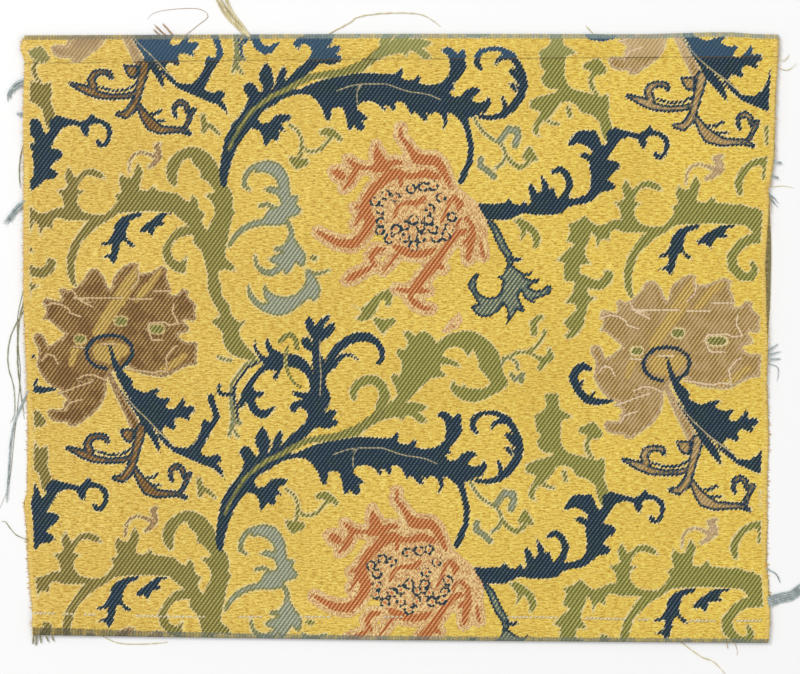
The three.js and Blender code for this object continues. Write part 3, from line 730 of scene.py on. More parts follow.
def to_segment(places: numpy.ndarray, start: numpy.ndarray, end: numpy.ndarray) -> tuple:
    """Measure places against one straight piece of a line.

    Args:
        places: The places, one row each.
        start: Where the piece starts.
        end: Where the piece ends.

    Returns:
        The distance, the share along the piece and the signed sideways offset of each place.
    """
    run = end - start
    length = max(float(numpy.hypot(run[0], run[1])), 1e-6)
    offset = places - start
    share = numpy.clip((offset @ run) / (length * length), 0.0, 1.0)
    gap = offset - share[:, None] * run
    side = (offset[:, 0] * run[1] - offset[:, 1] * run[0]) / length
    return numpy.hypot(gap[:, 0], gap[:, 1]), share, side


def leaf_distance(places: numpy.ndarray, corners: numpy.ndarray) -> numpy.ndarray:
    """Measure how far places stand from a closed figure, negative inside it.

    Args:
        places: The places, one row each.
        corners: The figure's corners, one row each.

    Returns:
        The signed distances.
    """
    nearest = numpy.full(len(places), FAR)
    inside = numpy.zeros(len(places), dtype=bool)
    for index, start in enumerate(corners):
        end = corners[(index + 1) % len(corners)]
        distance = to_segment(places, start, end)[0]
        nearest = numpy.minimum(nearest, distance)
        above = (start[1] > places[:, 1]) != (end[1] > places[:, 1])
        if start[1] == end[1]:
            continue
        crossing = start[0] + (places[:, 1] - start[1]) * (end[0] - start[0]) / (end[1] - start[1])
        inside ^= above & (places[:, 0] < crossing)
    return numpy.where(inside, -nearest, nearest)


def stem_distance(places: numpy.ndarray, spine: numpy.ndarray, widths: numpy.ndarray) -> numpy.ndarray:
    """Measure how far places stand from a stem, negative inside it.

    Args:
        places: The places, one row each.
        spine: The points of its spine.
        widths: Its width at each point.

    Returns:
        The signed distances.
    """
    nearest = numpy.full(len(places), FAR)
    for index in range(len(spine) - 1):
        distance, share, _ = to_segment(places, spine[index], spine[index + 1])
        half = (widths[index] * (1.0 - share) + widths[index + 1] * share) / 2.0
        nearest = numpy.minimum(nearest, distance - half)
    return nearest


@dataclass(frozen=True)
class FigureChart:
    """The woven figures of one repeat, and how they are laid out over the cloth."""

    thinnest: float = 1.2
    thin_stem: float = 2.0
    thin_gain: float = 0.12
    rows: tuple[int, ...] = (-2, -1, 0, 1)

    def layouts(self, lays: tuple[int, ...] = (-1, 0, 1)) -> list[numpy.ndarray]:
        """List the shifts of the repeat that can reach the cloth.

        Args:
            lays: Which repeats across hold the figure.

        Returns:
            The shifts in millimetres.
        """
        shifts = []
        for across in lays:
            for along in self.rows:
                steps_x = across * REPEAT_ACROSS[0] + along * REPEAT_ALONG[0]
                steps_y = across * REPEAT_ACROSS[1] + along * REPEAT_ALONG[1]
                shifts.append(numpy.array([steps_x * CHART_STEP, -steps_y * CHART_STEP]))
        return shifts

    def near(self, places: numpy.ndarray, points: numpy.ndarray, reach: float) -> numpy.ndarray:
        """Find the places near a figure.

        Args:
            places: The places, one row each.
            points: The figure's points.
            reach: How far around it still counts.

        Returns:
            The indices of the near places.
        """
        low = points.min(axis=0) - reach
        high = points.max(axis=0) + reach
        within = (places >= low).all(axis=1) & (places <= high).all(axis=1)
        return numpy.nonzero(within)[0]

    def field(self, places: numpy.ndarray, figures: tuple[Leaf | Stem, ...]) -> numpy.ndarray:
        """Measure every place against a set of figures in all their repeats.

        Args:
            places: The places on the cloth, in millimetres.
            figures: The figures of one colour.

        Returns:
            The signed distance to the nearest figure.
        """
        result = numpy.full(len(places), FAR)
        reach = FIGURE_REACH * CHART_STEP
        for figure in figures:
            if isinstance(figure, Leaf):
                points = chart_points(figure.outline)
                widths = None
            else:
                points = chart_points(figure.spine)
                widths = numpy.array([float(part) for part in figure.widths.split()]) * CHART_STEP
                thin = numpy.clip(1.0 - (widths - self.thinnest) / self.thin_stem, 0, 1)
                widths = widths + self.thin_gain * thin
            for shift in self.layouts(figure.lays):
                moved = points + shift
                close = self.near(places, moved, reach)
                if len(close) == 0:
                    continue
                if widths is None:
                    distance = leaf_distance(places[close], moved)
                else:
                    distance = stem_distance(places[close], moved, widths)
                result[close] = numpy.minimum(result[close], distance)
        return result

    def seeds(self, places: numpy.ndarray) -> numpy.ndarray:
        """Measure every place against the nearest seed centre.

        Args:
            places: The places on the cloth, in millimetres.

        Returns:
            The distances.
        """
        result = numpy.full(len(places), FAR)
        for centre in chart_points(SEED_CENTRES):
            for shift in self.layouts():
                moved = centre + shift
                distance = numpy.hypot(places[:, 0] - moved[0], places[:, 1] - moved[1])
                result = numpy.minimum(result, distance)
        return result

    def veins(self, places: numpy.ndarray, paths: tuple[str, ...]) -> tuple[numpy.ndarray, numpy.ndarray]:
        """Measure every place against the nearest light vein.

        Args:
            places: The places on the cloth, in millimetres.
            paths: The veins' paths, in chart steps.

        Returns:
            The signed sideways offset and the plain distance.
        """
        side = numpy.full(len(places), FAR)
        reach = numpy.full(len(places), FAR)
        for text in paths:
            points = chart_points(text)
            for shift in self.layouts():
                moved = points + shift
                close = self.near(places, moved, FIGURE_REACH * CHART_STEP)
                if len(close) == 0:
                    continue
                for index in range(len(moved) - 1):
                    found = to_segment(places[close], moved[index], moved[index + 1])
                    better = found[0] < reach[close]
                    reach[close[better]] = found[0][better]
                    side[close[better]] = found[2][better]
        return side, reach


@dataclass(frozen=True)
class Section:
    """The folded length seen from the side, in millimetres from the hem's raw end."""

    thickness: float = 0.8
    layer_gap: float = 0.5
    panel_top: float = 147.0
    panel_bottom: float = -147.0
    turning_end: float = -6.0
    hem_end: float = -135.0
    onto_turning: tuple[float, float] = (-47.2, -7.2)
    off_hem: tuple[float, float] = (-133.8, -124.8)

    @property
    def low(self) -> float:
        """Give the height of a lower layer's middle."""
        return self.thickness / 2.0

    @property
    def rise(self) -> float:
        """Give how far an upper layer stands above a lower one."""
        return self.thickness + self.layer_gap

    @property
    def radius(self) -> float:
        """Give the radius of a fold's middle."""
        return self.rise / 2.0

    @property
    def fold_inset(self) -> float:
        """Give how far a fold's centre stands inside the fold's edge."""
        return self.radius + self.thickness / 2.0

    def marks(self) -> tuple[float, ...]:
        """Give where the hem, the lower fold, the panel, the upper fold and the turning end.

        Returns:
            The five places along the length.
        """
        lower = self.panel_bottom + self.fold_inset
        upper = self.panel_top - self.fold_inset
        half_turn = math.pi * self.radius
        hem = self.hem_end - lower
        panel = hem + half_turn + upper - lower
        turning = panel + half_turn + upper - self.turning_end
        return (hem, hem + half_turn, panel, panel + half_turn, turning)

    def soft_step(self, values: numpy.ndarray, start: float, end: float) -> numpy.ndarray:
        """Rise softly from 0 to 1 between two places.

        Args:
            values: The places.
            start: Where the rise starts.
            end: Where it ends.

        Returns:
            The shares.
        """
        share = numpy.clip((values - start) / (end - start), 0.0, 1.0)
        return share * share * (3.0 - 2.0 * share)

    def lift(self, upward: numpy.ndarray) -> numpy.ndarray:
        """Give how far the panel lifts over the layers that lie under it.

        Args:
            upward: Heights up the panel.

        Returns:
            The lifts.
        """
        onto = self.soft_step(upward, self.onto_turning[0], self.onto_turning[1])
        off = 1.0 - self.soft_step(upward, self.off_hem[0], self.off_hem[1])
        return self.rise * numpy.maximum(onto, off)

    def place(self, along: numpy.ndarray, depth: numpy.ndarray) -> tuple[numpy.ndarray, numpy.ndarray]:
        """Fold flat places into the section.

        Args:
            along: Places along the length.
            depth: How deep each lies below the right side.

        Returns:
            The upward place and the height of each.
        """
        hem, lower_end, panel_end, upper_end, _ = self.marks()
        lower = self.panel_bottom + self.fold_inset
        upper = self.panel_top - self.fold_inset
        middle = self.low + self.radius
        out = self.thickness / 2.0 - depth
        panel_y = lower + along - lower_end
        lower_angle = numpy.clip((along - hem) / self.radius, 0.0, math.pi)
        upper_angle = numpy.clip((along - panel_end) / self.radius, 0.0, math.pi)
        reach = self.radius + out
        zones = [along <= hem, along < lower_end, along <= panel_end, along < upper_end]
        up_choices = [
            self.hem_end - along,
            lower - reach * numpy.sin(lower_angle),
            panel_y,
            upper + reach * numpy.sin(upper_angle),
        ]
        high_choices = [
            self.low - out,
            middle - reach * numpy.cos(lower_angle),
            self.low + self.lift(panel_y) + out,
            middle + reach * numpy.cos(upper_angle),
        ]
        upward = numpy.select(zones, up_choices, upper - (along - upper_end))
        height = numpy.select(zones, high_choices, self.low - out)
        return upward, height

    def unrolled(self, along: numpy.ndarray) -> numpy.ndarray:
        """Give how far up the weave's own plane a place along the length stands."""
        return along - self.marks()[1] + self.panel_bottom + self.fold_inset


def side_at(rows: tuple[SideRow, ...], upward: numpy.ndarray) -> tuple[numpy.ndarray, numpy.ndarray]:
    """Read both raw sides at some heights.

    Args:
        rows: The table of sides, from the top down.
        upward: The heights.

    Returns:
        The left and the right sides.
    """
    ups = [row.up for row in reversed(rows)]
    left = numpy.interp(upward, ups, [row.left for row in reversed(rows)])
    right = numpy.interp(upward, ups, [row.right for row in reversed(rows)])
    return left, right


class NodeBoard:
    """A material's node tree with short ways to add to it."""

    def __init__(self, name: str) -> None:
        """Start an empty board under a principled surface."""
        self.material = bpy.data.materials.new(name)
        self.material.use_nodes = True
        self.tree = self.material.node_tree
        self.tree.nodes.clear()
        self.surface = self.tree.nodes.new("ShaderNodeBsdfPrincipled")
        output = self.tree.nodes.new("ShaderNodeOutputMaterial")
        self.tree.links.new(self.surface.outputs["BSDF"], output.inputs["Surface"])

    def feed(self, socket: Socket, value: object) -> None:
        """Set a socket, or link it when the value is another socket.

        Args:
            socket: The socket that is fed.
            value: A number, a colour or an output.
        """
        if isinstance(value, Socket):
            self.tree.links.new(value, socket)
        else:
            socket.default_value = value

    def attribute(self, name: str) -> Socket:
        """Read a number kept on the mesh."""
        node = self.tree.nodes.new("ShaderNodeAttribute")
        node.attribute_name = name
        return node.outputs["Fac"]

    def maths(self, work: str, first: object, second: object = 0.0) -> Socket:
        """Add one sum.

        Args:
            work: The operation.
            first: First number or output.
            second: Second number or output.

        Returns:
            The result.
        """
        node = self.tree.nodes.new("ShaderNodeMath")
        node.operation = work
        for socket, value in zip(node.inputs, (first, second)):
            self.feed(socket, value)
        return node.outputs[0]

    def plus(self, first: object, second: object) -> Socket:
        """Add two numbers."""
        return self.maths("ADD", first, second)

    def minus(self, first: object, second: object) -> Socket:
        """Take the second number from the first."""
        return self.maths("SUBTRACT", first, second)

    def times(self, first: object, second: object) -> Socket:
        """Multiply two numbers."""
        return self.maths("MULTIPLY", first, second)

    def over(self, first: object, second: object) -> Socket:
        """Divide the first number by the second."""
        return self.maths("DIVIDE", first, second)

    def larger(self, first: object, second: object) -> Socket:
        """Give the larger of two numbers."""
        return self.maths("MAXIMUM", first, second)

    def size(self, value: object) -> Socket:
        """Give a number without its sign."""
        return self.maths("ABSOLUTE", value)

    def ramp(self, value: object, low: float, high: float, start: float = 0.0, end: float = 1.0) -> Socket:
        """Carry a range of numbers over to another, held at its ends.

        Args:
            value: The number.
            low: Where the first range starts.
            high: Where it ends.
            start: Where the second range starts.
            end: Where it ends.

        Returns:
            The result.
        """
        node = self.tree.nodes.new("ShaderNodeMapRange")
        node.clamp = True
        for socket, part in zip(node.inputs, (value, low, high, start, end)):
            self.feed(socket, part)
        return node.outputs[0]

    def mix(self, share: object, first: object, second: object) -> Socket:
        """Blend two colours.

        Args:
            share: How much of the second.
            first: First colour.
            second: Second colour.

        Returns:
            The blend.
        """
        node = self.tree.nodes.new("ShaderNodeMix")
        node.data_type = "RGBA"
        self.feed(node.inputs[0], share)
        self.feed(node.inputs[6], first)
        self.feed(node.inputs[7], second)
        return node.outputs[2]

    def vector(self, across: object, along: object, up: object = 0.0) -> Socket:
        """Join three numbers to a place."""
        node = self.tree.nodes.new("ShaderNodeCombineXYZ")
        for socket, value in zip(node.inputs, (across, along, up)):
            self.feed(socket, value)
        return node.outputs[0]

    def noise(self, place: object, scale: float, detail: float = 2.0) -> Socket:
        """Give a soft unevenness from 0 to 1.

        Args:
            place: Where it is read.
            scale: How fine it is.
            detail: How many finer layers it holds.

        Returns:
            The unevenness.
        """
        node = self.tree.nodes.new("ShaderNodeTexNoise")
        self.feed(node.inputs["Vector"], place)
        node.inputs["Scale"].default_value = scale
        node.inputs["Detail"].default_value = detail
        return node.outputs["Fac"]

    def chance(self, place: object) -> Socket:
        """Give a number from 0 to 1 that is another one at every place."""
        node = self.tree.nodes.new("ShaderNodeTexWhiteNoise")
        node.noise_dimensions = "3D"
        self.feed(node.inputs["Vector"], place)
        return node.outputs["Value"]

    def object_place(self) -> Socket:
        """Read the place on the piece itself."""
        node = self.tree.nodes.new("ShaderNodeTexCoord")
        return node.outputs["Object"]


@dataclass(frozen=True)
class SilkWeave:
    """The finish of the patterned silk: a streaky satin ground with twill-bound figures."""

    cell_across: float = 0.51
    cell_along: float = 0.70
    edge_jitter: float = 0.5
    twill_across: float = 2.04
    twill_along: float = 2.8
    outline_reach: float = 0.7
    edge_tooth: float = 1.35
    dot_pitch: float = 1.15
    relief: float = 0.00022

    def mask(self, board: NodeBoard, name: str, jitter: object, grow: float = 0.0) -> Socket:
        """Give 1 inside a figure and 0 outside, with the stepped edge of a weave.

        Args:
            board: The board that is drawn on.
            name: The number kept on the mesh.
            jitter: How far the edge is shifted.
            grow: How much the figure is grown.

        Returns:
            The mask.
        """
        moved = board.plus(board.attribute(name), jitter)
        return board.ramp(moved, grow - 0.10, grow + 0.10, 1.0, 0.0)

    def build(self, wrong_side: bool = False) -> bpy.types.Material:
        """Draw the material.

        Args:
            wrong_side: True for the back of the cloth.

        Returns:
            The material.
        """
        board = NodeBoard("silk_back" if wrong_side else "brocaded_silk")
        across = board.attribute("weave_across")
        along = board.attribute("weave_along")
        column = board.maths("FLOOR", board.over(across, self.cell_across))
        row = board.maths("FLOOR", board.over(along, self.cell_along))
        cell_chance = board.chance(board.vector(column, row))
        jitter = board.times(board.minus(cell_chance, 0.5), self.edge_jitter)

        turns = board.minus(board.over(across, self.twill_across), board.over(along, self.twill_along))
        twill = board.maths("FRACT", turns)
        ridge = board.size(board.minus(twill, 0.5))
        tooth = board.times(board.minus(0.25, ridge), self.edge_tooth)
        jitter = board.plus(jitter, tooth)
        dot = board.maths("FRACT", board.over(along, self.dot_pitch))
        dot = board.ramp(board.size(board.minus(dot, 0.5)), 0.18, 0.40, 1.0, 0.25)
        soft_place = board.vector(board.times(across, 0.5), along, 3.0)
        dash = board.ramp(board.noise(soft_place, 1.1, 1.0), 0.34, 0.56, 0.42, 1.0)
        light_line = board.times(board.ramp(ridge, 0.10, 0.24, 1.0, 0.0), board.times(dot, dash))
        dark_line = board.times(board.ramp(ridge, 0.26, 0.42, 0.0, 1.0), dash)

        fade = board.ramp(across, -185.0, 185.0)
        streak_place = board.vector(board.times(across, 0.30), board.times(along, 1.45))
        streak = board.noise(streak_place, 1.0, 2.0)
        fine_place = board.vector(board.times(across, 0.75), board.times(along, 2.2), 5.0)
        fine = board.noise(fine_place, 1.0, 1.0)
        cloud = board.noise(board.vector(across, along), 0.02, 3.0)
        cloud_fine = board.noise(board.vector(across, along, 9.0), 0.12, 2.0)

        ground_deep = board.mix(fade, linear(186, 142, 46), linear(200, 154, 40))
        ground_mid = board.mix(fade, linear(224, 187, 82), linear(234, 200, 76))
        ground_light = board.mix(fade, linear(246, 222, 124), linear(252, 232, 112))
        ground = board.mix(board.ramp(streak, 0.34, 0.50), ground_deep, ground_mid)
        ground = board.mix(board.ramp(streak, 0.53, 0.70), ground, ground_light)
        ground = board.mix(board.ramp(fine, 0.28, 0.43, 0.75, 0.0), ground, linear(158, 116, 34))
        ground = board.mix(board.ramp(fine, 0.55, 0.66, 0.0, 0.70), ground, linear(250, 232, 132))
        ground = board.mix(board.ramp(cloud, 0.40, 0.66, 0.0, 0.18), ground, linear(190, 146, 50))

        masks = {dye: self.mask(board, dye.value, jitter) for dye in Dye}
        colour = ground

        outline = None
        for dye in (Dye.GREEN, Dye.GREY, Dye.BROWN):
            rim = self.mask(board, dye.value, jitter, self.outline_reach)
            outline = rim if outline is None else board.larger(outline, rim)
        speck = board.ramp(cell_chance, 0.2, 0.8, 0.25, 0.9)
        colour = board.mix(board.times(outline, speck), colour, linear(228, 212, 162))
        navy_rim = board.larger(
            self.mask(board, Dye.NAVY.value, jitter, self.outline_reach),
            self.mask(board, Dye.BRANCH.value, jitter, self.outline_reach + 0.25),
        )
        rare_speck = board.ramp(cell_chance, 0.62, 0.72, 0.0, 0.8)
        colour = board.mix(board.times(navy_rim, rare_speck), colour, linear(238, 224, 174))

        def dyed(body: tuple, light: tuple, dark: tuple, lines: float = 1.0) -> Socket:
            """Give a dye's colour with its dark twill lines and its rows of light dots."""
            shade = board.mix(board.times(dark_line, 0.95), body, dark)
            return board.mix(board.times(light_line, lines), shade, light)

        green_left = dyed(linear(128, 114, 54), linear(204, 186, 108), linear(80, 68, 22), 0.9)
        green_right = dyed(linear(134, 130, 58), linear(208, 200, 112), linear(80, 84, 26), 0.9)
        green = board.mix(board.ramp(fade, 0.05, 0.45), green_left, green_right)
        grey = dyed(linear(146, 150, 122), linear(212, 212, 186), linear(92, 102, 84), 0.9)
        grey_edge = dyed(linear(128, 128, 70), linear(182, 176, 116), linear(92, 96, 46), 0.6)
        grey_inside = self.mask(board, Dye.GREY.value, jitter, -0.75)
        grey = board.mix(grey_inside, grey_edge, grey)
        peach_share = board.ramp(cell_chance, 0.30, 0.60)
        peach_grain = board.mix(peach_share, linear(242, 214, 148), linear(208, 158, 102))
        peach_grain = board.mix(board.ramp(cell_chance, 0.74, 0.86), peach_grain, linear(178, 122, 76))
        peach = board.mix(board.times(dark_line, 0.45), peach_grain, linear(180, 124, 70))
        coral = dyed(linear(186, 102, 48), linear(238, 198, 124), linear(142, 50, 18), 0.9)
        brown_left = dyed(linear(132, 96, 48), linear(220, 190, 114), linear(80, 50, 18), 0.85)
        brown_deep = dyed(linear(112, 78, 38), linear(184, 146, 78), linear(70, 42, 14), 0.75)
        brown_left = board.mix(board.ramp(cloud_fine, 0.47, 0.56, 0.0, 0.8), brown_left, brown_deep)
        brown_right = dyed(linear(166, 134, 80), linear(230, 204, 126), linear(114, 82, 40), 0.85)
        brown_pale = dyed(linear(188, 158, 108), linear(226, 200, 146), linear(146, 114, 72), 0.7)
        brown_right = board.mix(board.ramp(cloud_fine, 0.45, 0.58, 0.0, 0.7), brown_right, brown_pale)
        brown = board.mix(board.ramp(fade, 0.35, 0.7), brown_left, brown_right)
        gold = dyed(linear(194, 158, 82), linear(244, 220, 120), linear(134, 98, 40), 1.0)
        gold_share = board.times(self.mask(board, "gold", jitter), 0.85)
        brown = board.mix(gold_share, brown, gold)
        pendant = dyed(linear(98, 112, 92), linear(212, 206, 156), linear(30, 52, 60), 1.0)
        tint = board.mix(board.ramp(cloud_fine, 0.45, 0.62), linear(4, 35, 60), linear(8, 38, 46))
        navy = dyed(tint, linear(108, 142, 146), linear(1, 10, 24), 0.55)
        olive = dyed(linear(126, 122, 54), linear(206, 198, 124), linear(74, 74, 26), 0.9)

        colour = board.mix(masks[Dye.GREEN], colour, green)
        colour = board.mix(masks[Dye.GREY], colour, grey)
        colour = board.mix(masks[Dye.PEACH], colour, peach)
        peach_rim = board.minus(masks[Dye.PEACH], self.mask(board, Dye.PEACH.value, jitter, -0.45))
        edge_share = board.ramp(cell_chance, 0.45, 0.65)
        peach_edge = board.mix(edge_share, linear(176, 122, 82), linear(238, 214, 166))
        colour = board.mix(board.times(peach_rim, 0.8), colour, peach_edge)
        colour = board.mix(masks[Dye.CORAL], colour, coral)
        colour = board.mix(masks[Dye.BROWN], colour, brown)
        brown_inner = self.mask(board, Dye.BROWN.value, jitter, -1.05)
        brown_rim = board.minus(masks[Dye.BROWN], brown_inner)
        pale_edge = board.mix(board.ramp(fade, 0.35, 0.7), linear(204, 172, 124), linear(218, 190, 150))
        colour = board.mix(board.times(brown_rim, speck), colour, pale_edge)
        brown_rim = board.minus(masks[Dye.BROWN], self.mask(board, Dye.BROWN.value, jitter, -0.5))
        brown_edge = board.mix(board.ramp(fade, 0.35, 0.7), linear(122, 86, 50), linear(156, 120, 84))
        colour = board.mix(board.times(brown_rim, speck), colour, brown_edge)
        seam = board.size(board.attribute("seam_side"))
        seam = board.plus(seam, board.times(jitter, 0.6))
        seam_near = board.ramp(board.attribute("seam_reach"), 1.2, 1.8, 1.0, 0.0)
        seam_dark = board.mix(board.ramp(fade, 0.35, 0.7), linear(120, 84, 48), linear(152, 116, 80))
        seam_pale = board.mix(board.ramp(fade, 0.35, 0.7), linear(212, 184, 136), linear(228, 204, 164))
        seam_wide = board.times(board.ramp(seam, 0.85, 1.05, speck, 0.0), seam_near)
        seam_thin = board.times(board.ramp(seam, 0.32, 0.46, 0.95, 0.0), seam_near)
        colour = board.mix(seam_wide, colour, seam_dark)
        colour = board.mix(seam_thin, colour, seam_pale)
        spot_edge = board.mix(board.ramp(fade, 0.35, 0.7), linear(208, 184, 124), linear(226, 206, 150))
        colour = board.mix(self.mask(board, "flower_spot", jitter, 0.7), colour, spot_edge)
        colour = board.mix(self.mask(board, "flower_spot", jitter), colour, olive)
        rims = board.larger(
            self.mask(board, Dye.BRANCH.value, jitter, 0.25),
            self.mask(board, Dye.PENDANT.value, jitter, 0.25),
        )
        colour = board.mix(rims, colour, navy)
        colour = board.mix(self.mask(board, Dye.BRANCH.value, jitter, -0.95), colour, brown)
        colour = board.mix(self.mask(board, Dye.PENDANT.value, jitter, -0.85), colour, pendant)
        colour = board.mix(masks[Dye.NAVY], colour, navy)
        colour = board.mix(masks[Dye.OLIVE], colour, olive)
        vein_side = board.size(board.attribute("vein_side"))
        vein_share = board.ramp(cell_chance, 0.1, 0.7, 0.35, 0.95)
        vein_gap = board.plus(vein_side, board.times(jitter, 0.5))
        vein_near = board.ramp(board.attribute("vein_reach"), 1.2, 1.6, 1.0, 0.0)
        vein = board.times(board.ramp(vein_gap, 0.16, 0.34, vein_share, 0.0), vein_near)
        colour = board.mix(vein, colour, linear(206, 188, 138))
        blot = board.noise(board.vector(across, along, 4.0), 0.50, 0.0)
        seed = board.plus(board.attribute("seed"), board.times(jitter, 0.8))
        ring_share = board.ramp(blot, 0.41, 0.46)
        colour = board.mix(board.ramp(seed, 2.55, 2.75, ring_share, 0.0), colour, linear(22, 46, 58))
        colour = board.mix(board.ramp(seed, 1.35, 1.55, 1.0, 0.0), colour, linear(232, 202, 138))
        colour = board.mix(board.ramp(seed, 0.85, 1.05, 1.0, 0.0), colour, linear(196, 108, 56))

        figures = None
        for dye in Dye:
            figures = masks[dye] if figures is None else board.larger(figures, masks[dye])

        crease = board.attribute("crease")
        above = board.ramp(crease, 0.0, 0.6, 0.0, 0.30)
        colour = board.mix(board.times(above, masks[Dye.NAVY]), colour, linear(70, 112, 146))
        colour = board.mix(board.times(above, masks[Dye.BROWN]), colour, linear(236, 208, 160))
        colour = board.mix(board.times(above, masks[Dye.GREEN]), colour, linear(170, 172, 110))
        side = board.attribute("side_gap")
        side_streak = board.noise(board.vector(board.times(across, 0.2), along), 1.5, 1.0)
        side_tone = board.ramp(side_streak, 0.35, 0.62)
        side_colour = board.mix(side_tone, linear(206, 158, 66), linear(246, 220, 130))
        side_share = board.ramp(board.plus(side, jitter), 1.6, 2.4, 0.65, 0.0)
        colour = board.mix(side_share, colour, side_colour)

        wear = board.attribute("fold_wear")
        rib = board.maths("SINE", board.times(across, 2.0 * math.pi / 1.4))
        worn = board.ramp(board.plus(wear, board.times(jitter, 0.6)), -0.25, 0.25, 1.0, 0.0)
        low_tone = board.mix(board.ramp(fade, 0.02, 0.30), linear(84, 80, 54), linear(112, 122, 110))
        high_tone = board.mix(board.ramp(fade, 0.10, 0.45), linear(132, 126, 100), linear(140, 154, 146))
        band_tone = board.mix(board.ramp(along, -20.0, 20.0), low_tone, high_tone)
        band_chance = board.noise(board.vector(across, 0.0, 2.0), 0.35, 1.0)
        band_spots = board.ramp(band_chance, 0.35, 0.65, 0.0, 0.3)
        band_share = board.plus(board.ramp(rib, -1.0, 1.0, 0.40, 0.66), band_spots)
        worn_colour = board.mix(band_share, colour, band_tone)
        colour = board.mix(worn, colour, worn_colour)
        # Painted shadow along the bottom fold: a thin dark line at the cloth's lower edge, where it casts its
        # shadow.
        bottom_shadow_gap = board.size(board.attribute("low_rim_shadow"))
        colour = board.mix(board.ramp(bottom_shadow_gap, 0.25, 0.75, 0.85, 0.0), colour, linear(48, 50, 42))
        # Painted shade along the old crease: a thin dark line, broken by noise and darker over the figures,
        # where the groove lies in shade.
        crease_gap = board.size(board.plus(crease, board.times(jitter, 0.2)))
        crease_shade_noise = board.ramp(board.noise(board.vector(across, 0.0), 0.09, 2.0), 0.38, 0.62, 0.2, 0.6)
        crease_shade_share = board.plus(crease_shade_noise, board.times(figures, 0.35))
        crease_shade_share = board.ramp(crease_gap, 0.12, 0.42, crease_shade_share, 0.0)
        colour = board.mix(crease_shade_share, colour, linear(84, 66, 38))

        if wrong_side:
            back_mix = board.mix(board.ramp(streak, 0.35, 0.65), linear(52, 68, 60), linear(112, 120, 100))
            colour = board.mix(0.72, colour, back_mix)
        weave_height = board.times(board.minus(streak, 0.5), 1.2)
        weave_height = board.plus(weave_height, board.times(fine, 0.7))
        figure_height = board.plus(board.times(light_line, 0.7), 0.45)
        height = board.plus(
            board.times(weave_height, board.minus(1.0, figures)),
            board.times(figure_height, figures),
        )
        height = board.plus(height, board.times(board.times(rib, worn), 0.6))
        bump = board.tree.nodes.new("ShaderNodeBump")
        bump.inputs["Distance"].default_value = self.relief
        bump.inputs["Strength"].default_value = 0.8
        board.feed(bump.inputs["Height"], height)
        board.feed(board.surface.inputs["Normal"], bump.outputs["Normal"])
        board.feed(board.surface.inputs["Base Color"], colour)
        board.feed(board.surface.inputs["Roughness"], board.ramp(figures, 0.0, 1.0, 0.5, 0.68))
        board.surface.inputs["Specular IOR Level"].default_value = 0.32
        board.surface.inputs["Sheen Weight"].default_value = 0.12
        board.surface.inputs["Sheen Roughness"].default_value = 0.5
        return board.material


@dataclass(frozen=True)
class YarnFinish:
    """The finish of a loose yarn: a soft colour that changes along it."""

    name: str
    body: tuple[float, float, float]
    light: tuple[float, float, float]
    dark: tuple[float, float, float]
    soft_scale: float = 420.0
    fine_scale: float = 2600.0
    roughness: float = 0.7
    sheen: float = 0.2

    def build(self) -> bpy.types.Material:
        """Draw the material.

        Returns:
            The material.
        """
        board = NodeBoard(self.name)
        place = board.object_place()
        soft = board.noise(place, self.soft_scale, 2.0)
        fine = board.noise(place, self.fine_scale, 1.0)
        colour = board.mix(board.ramp(soft, 0.35, 0.65), linear(*self.body), linear(*self.light))
        colour = board.mix(board.ramp(fine, 0.35, 0.6, 0.6, 0.0), colour, linear(*self.dark))
        board.feed(board.surface.inputs["Base Color"], colour)
        board.surface.inputs["Roughness"].default_value = self.roughness
        board.surface.inputs["Sheen Weight"].default_value = self.sheen
        return board.material


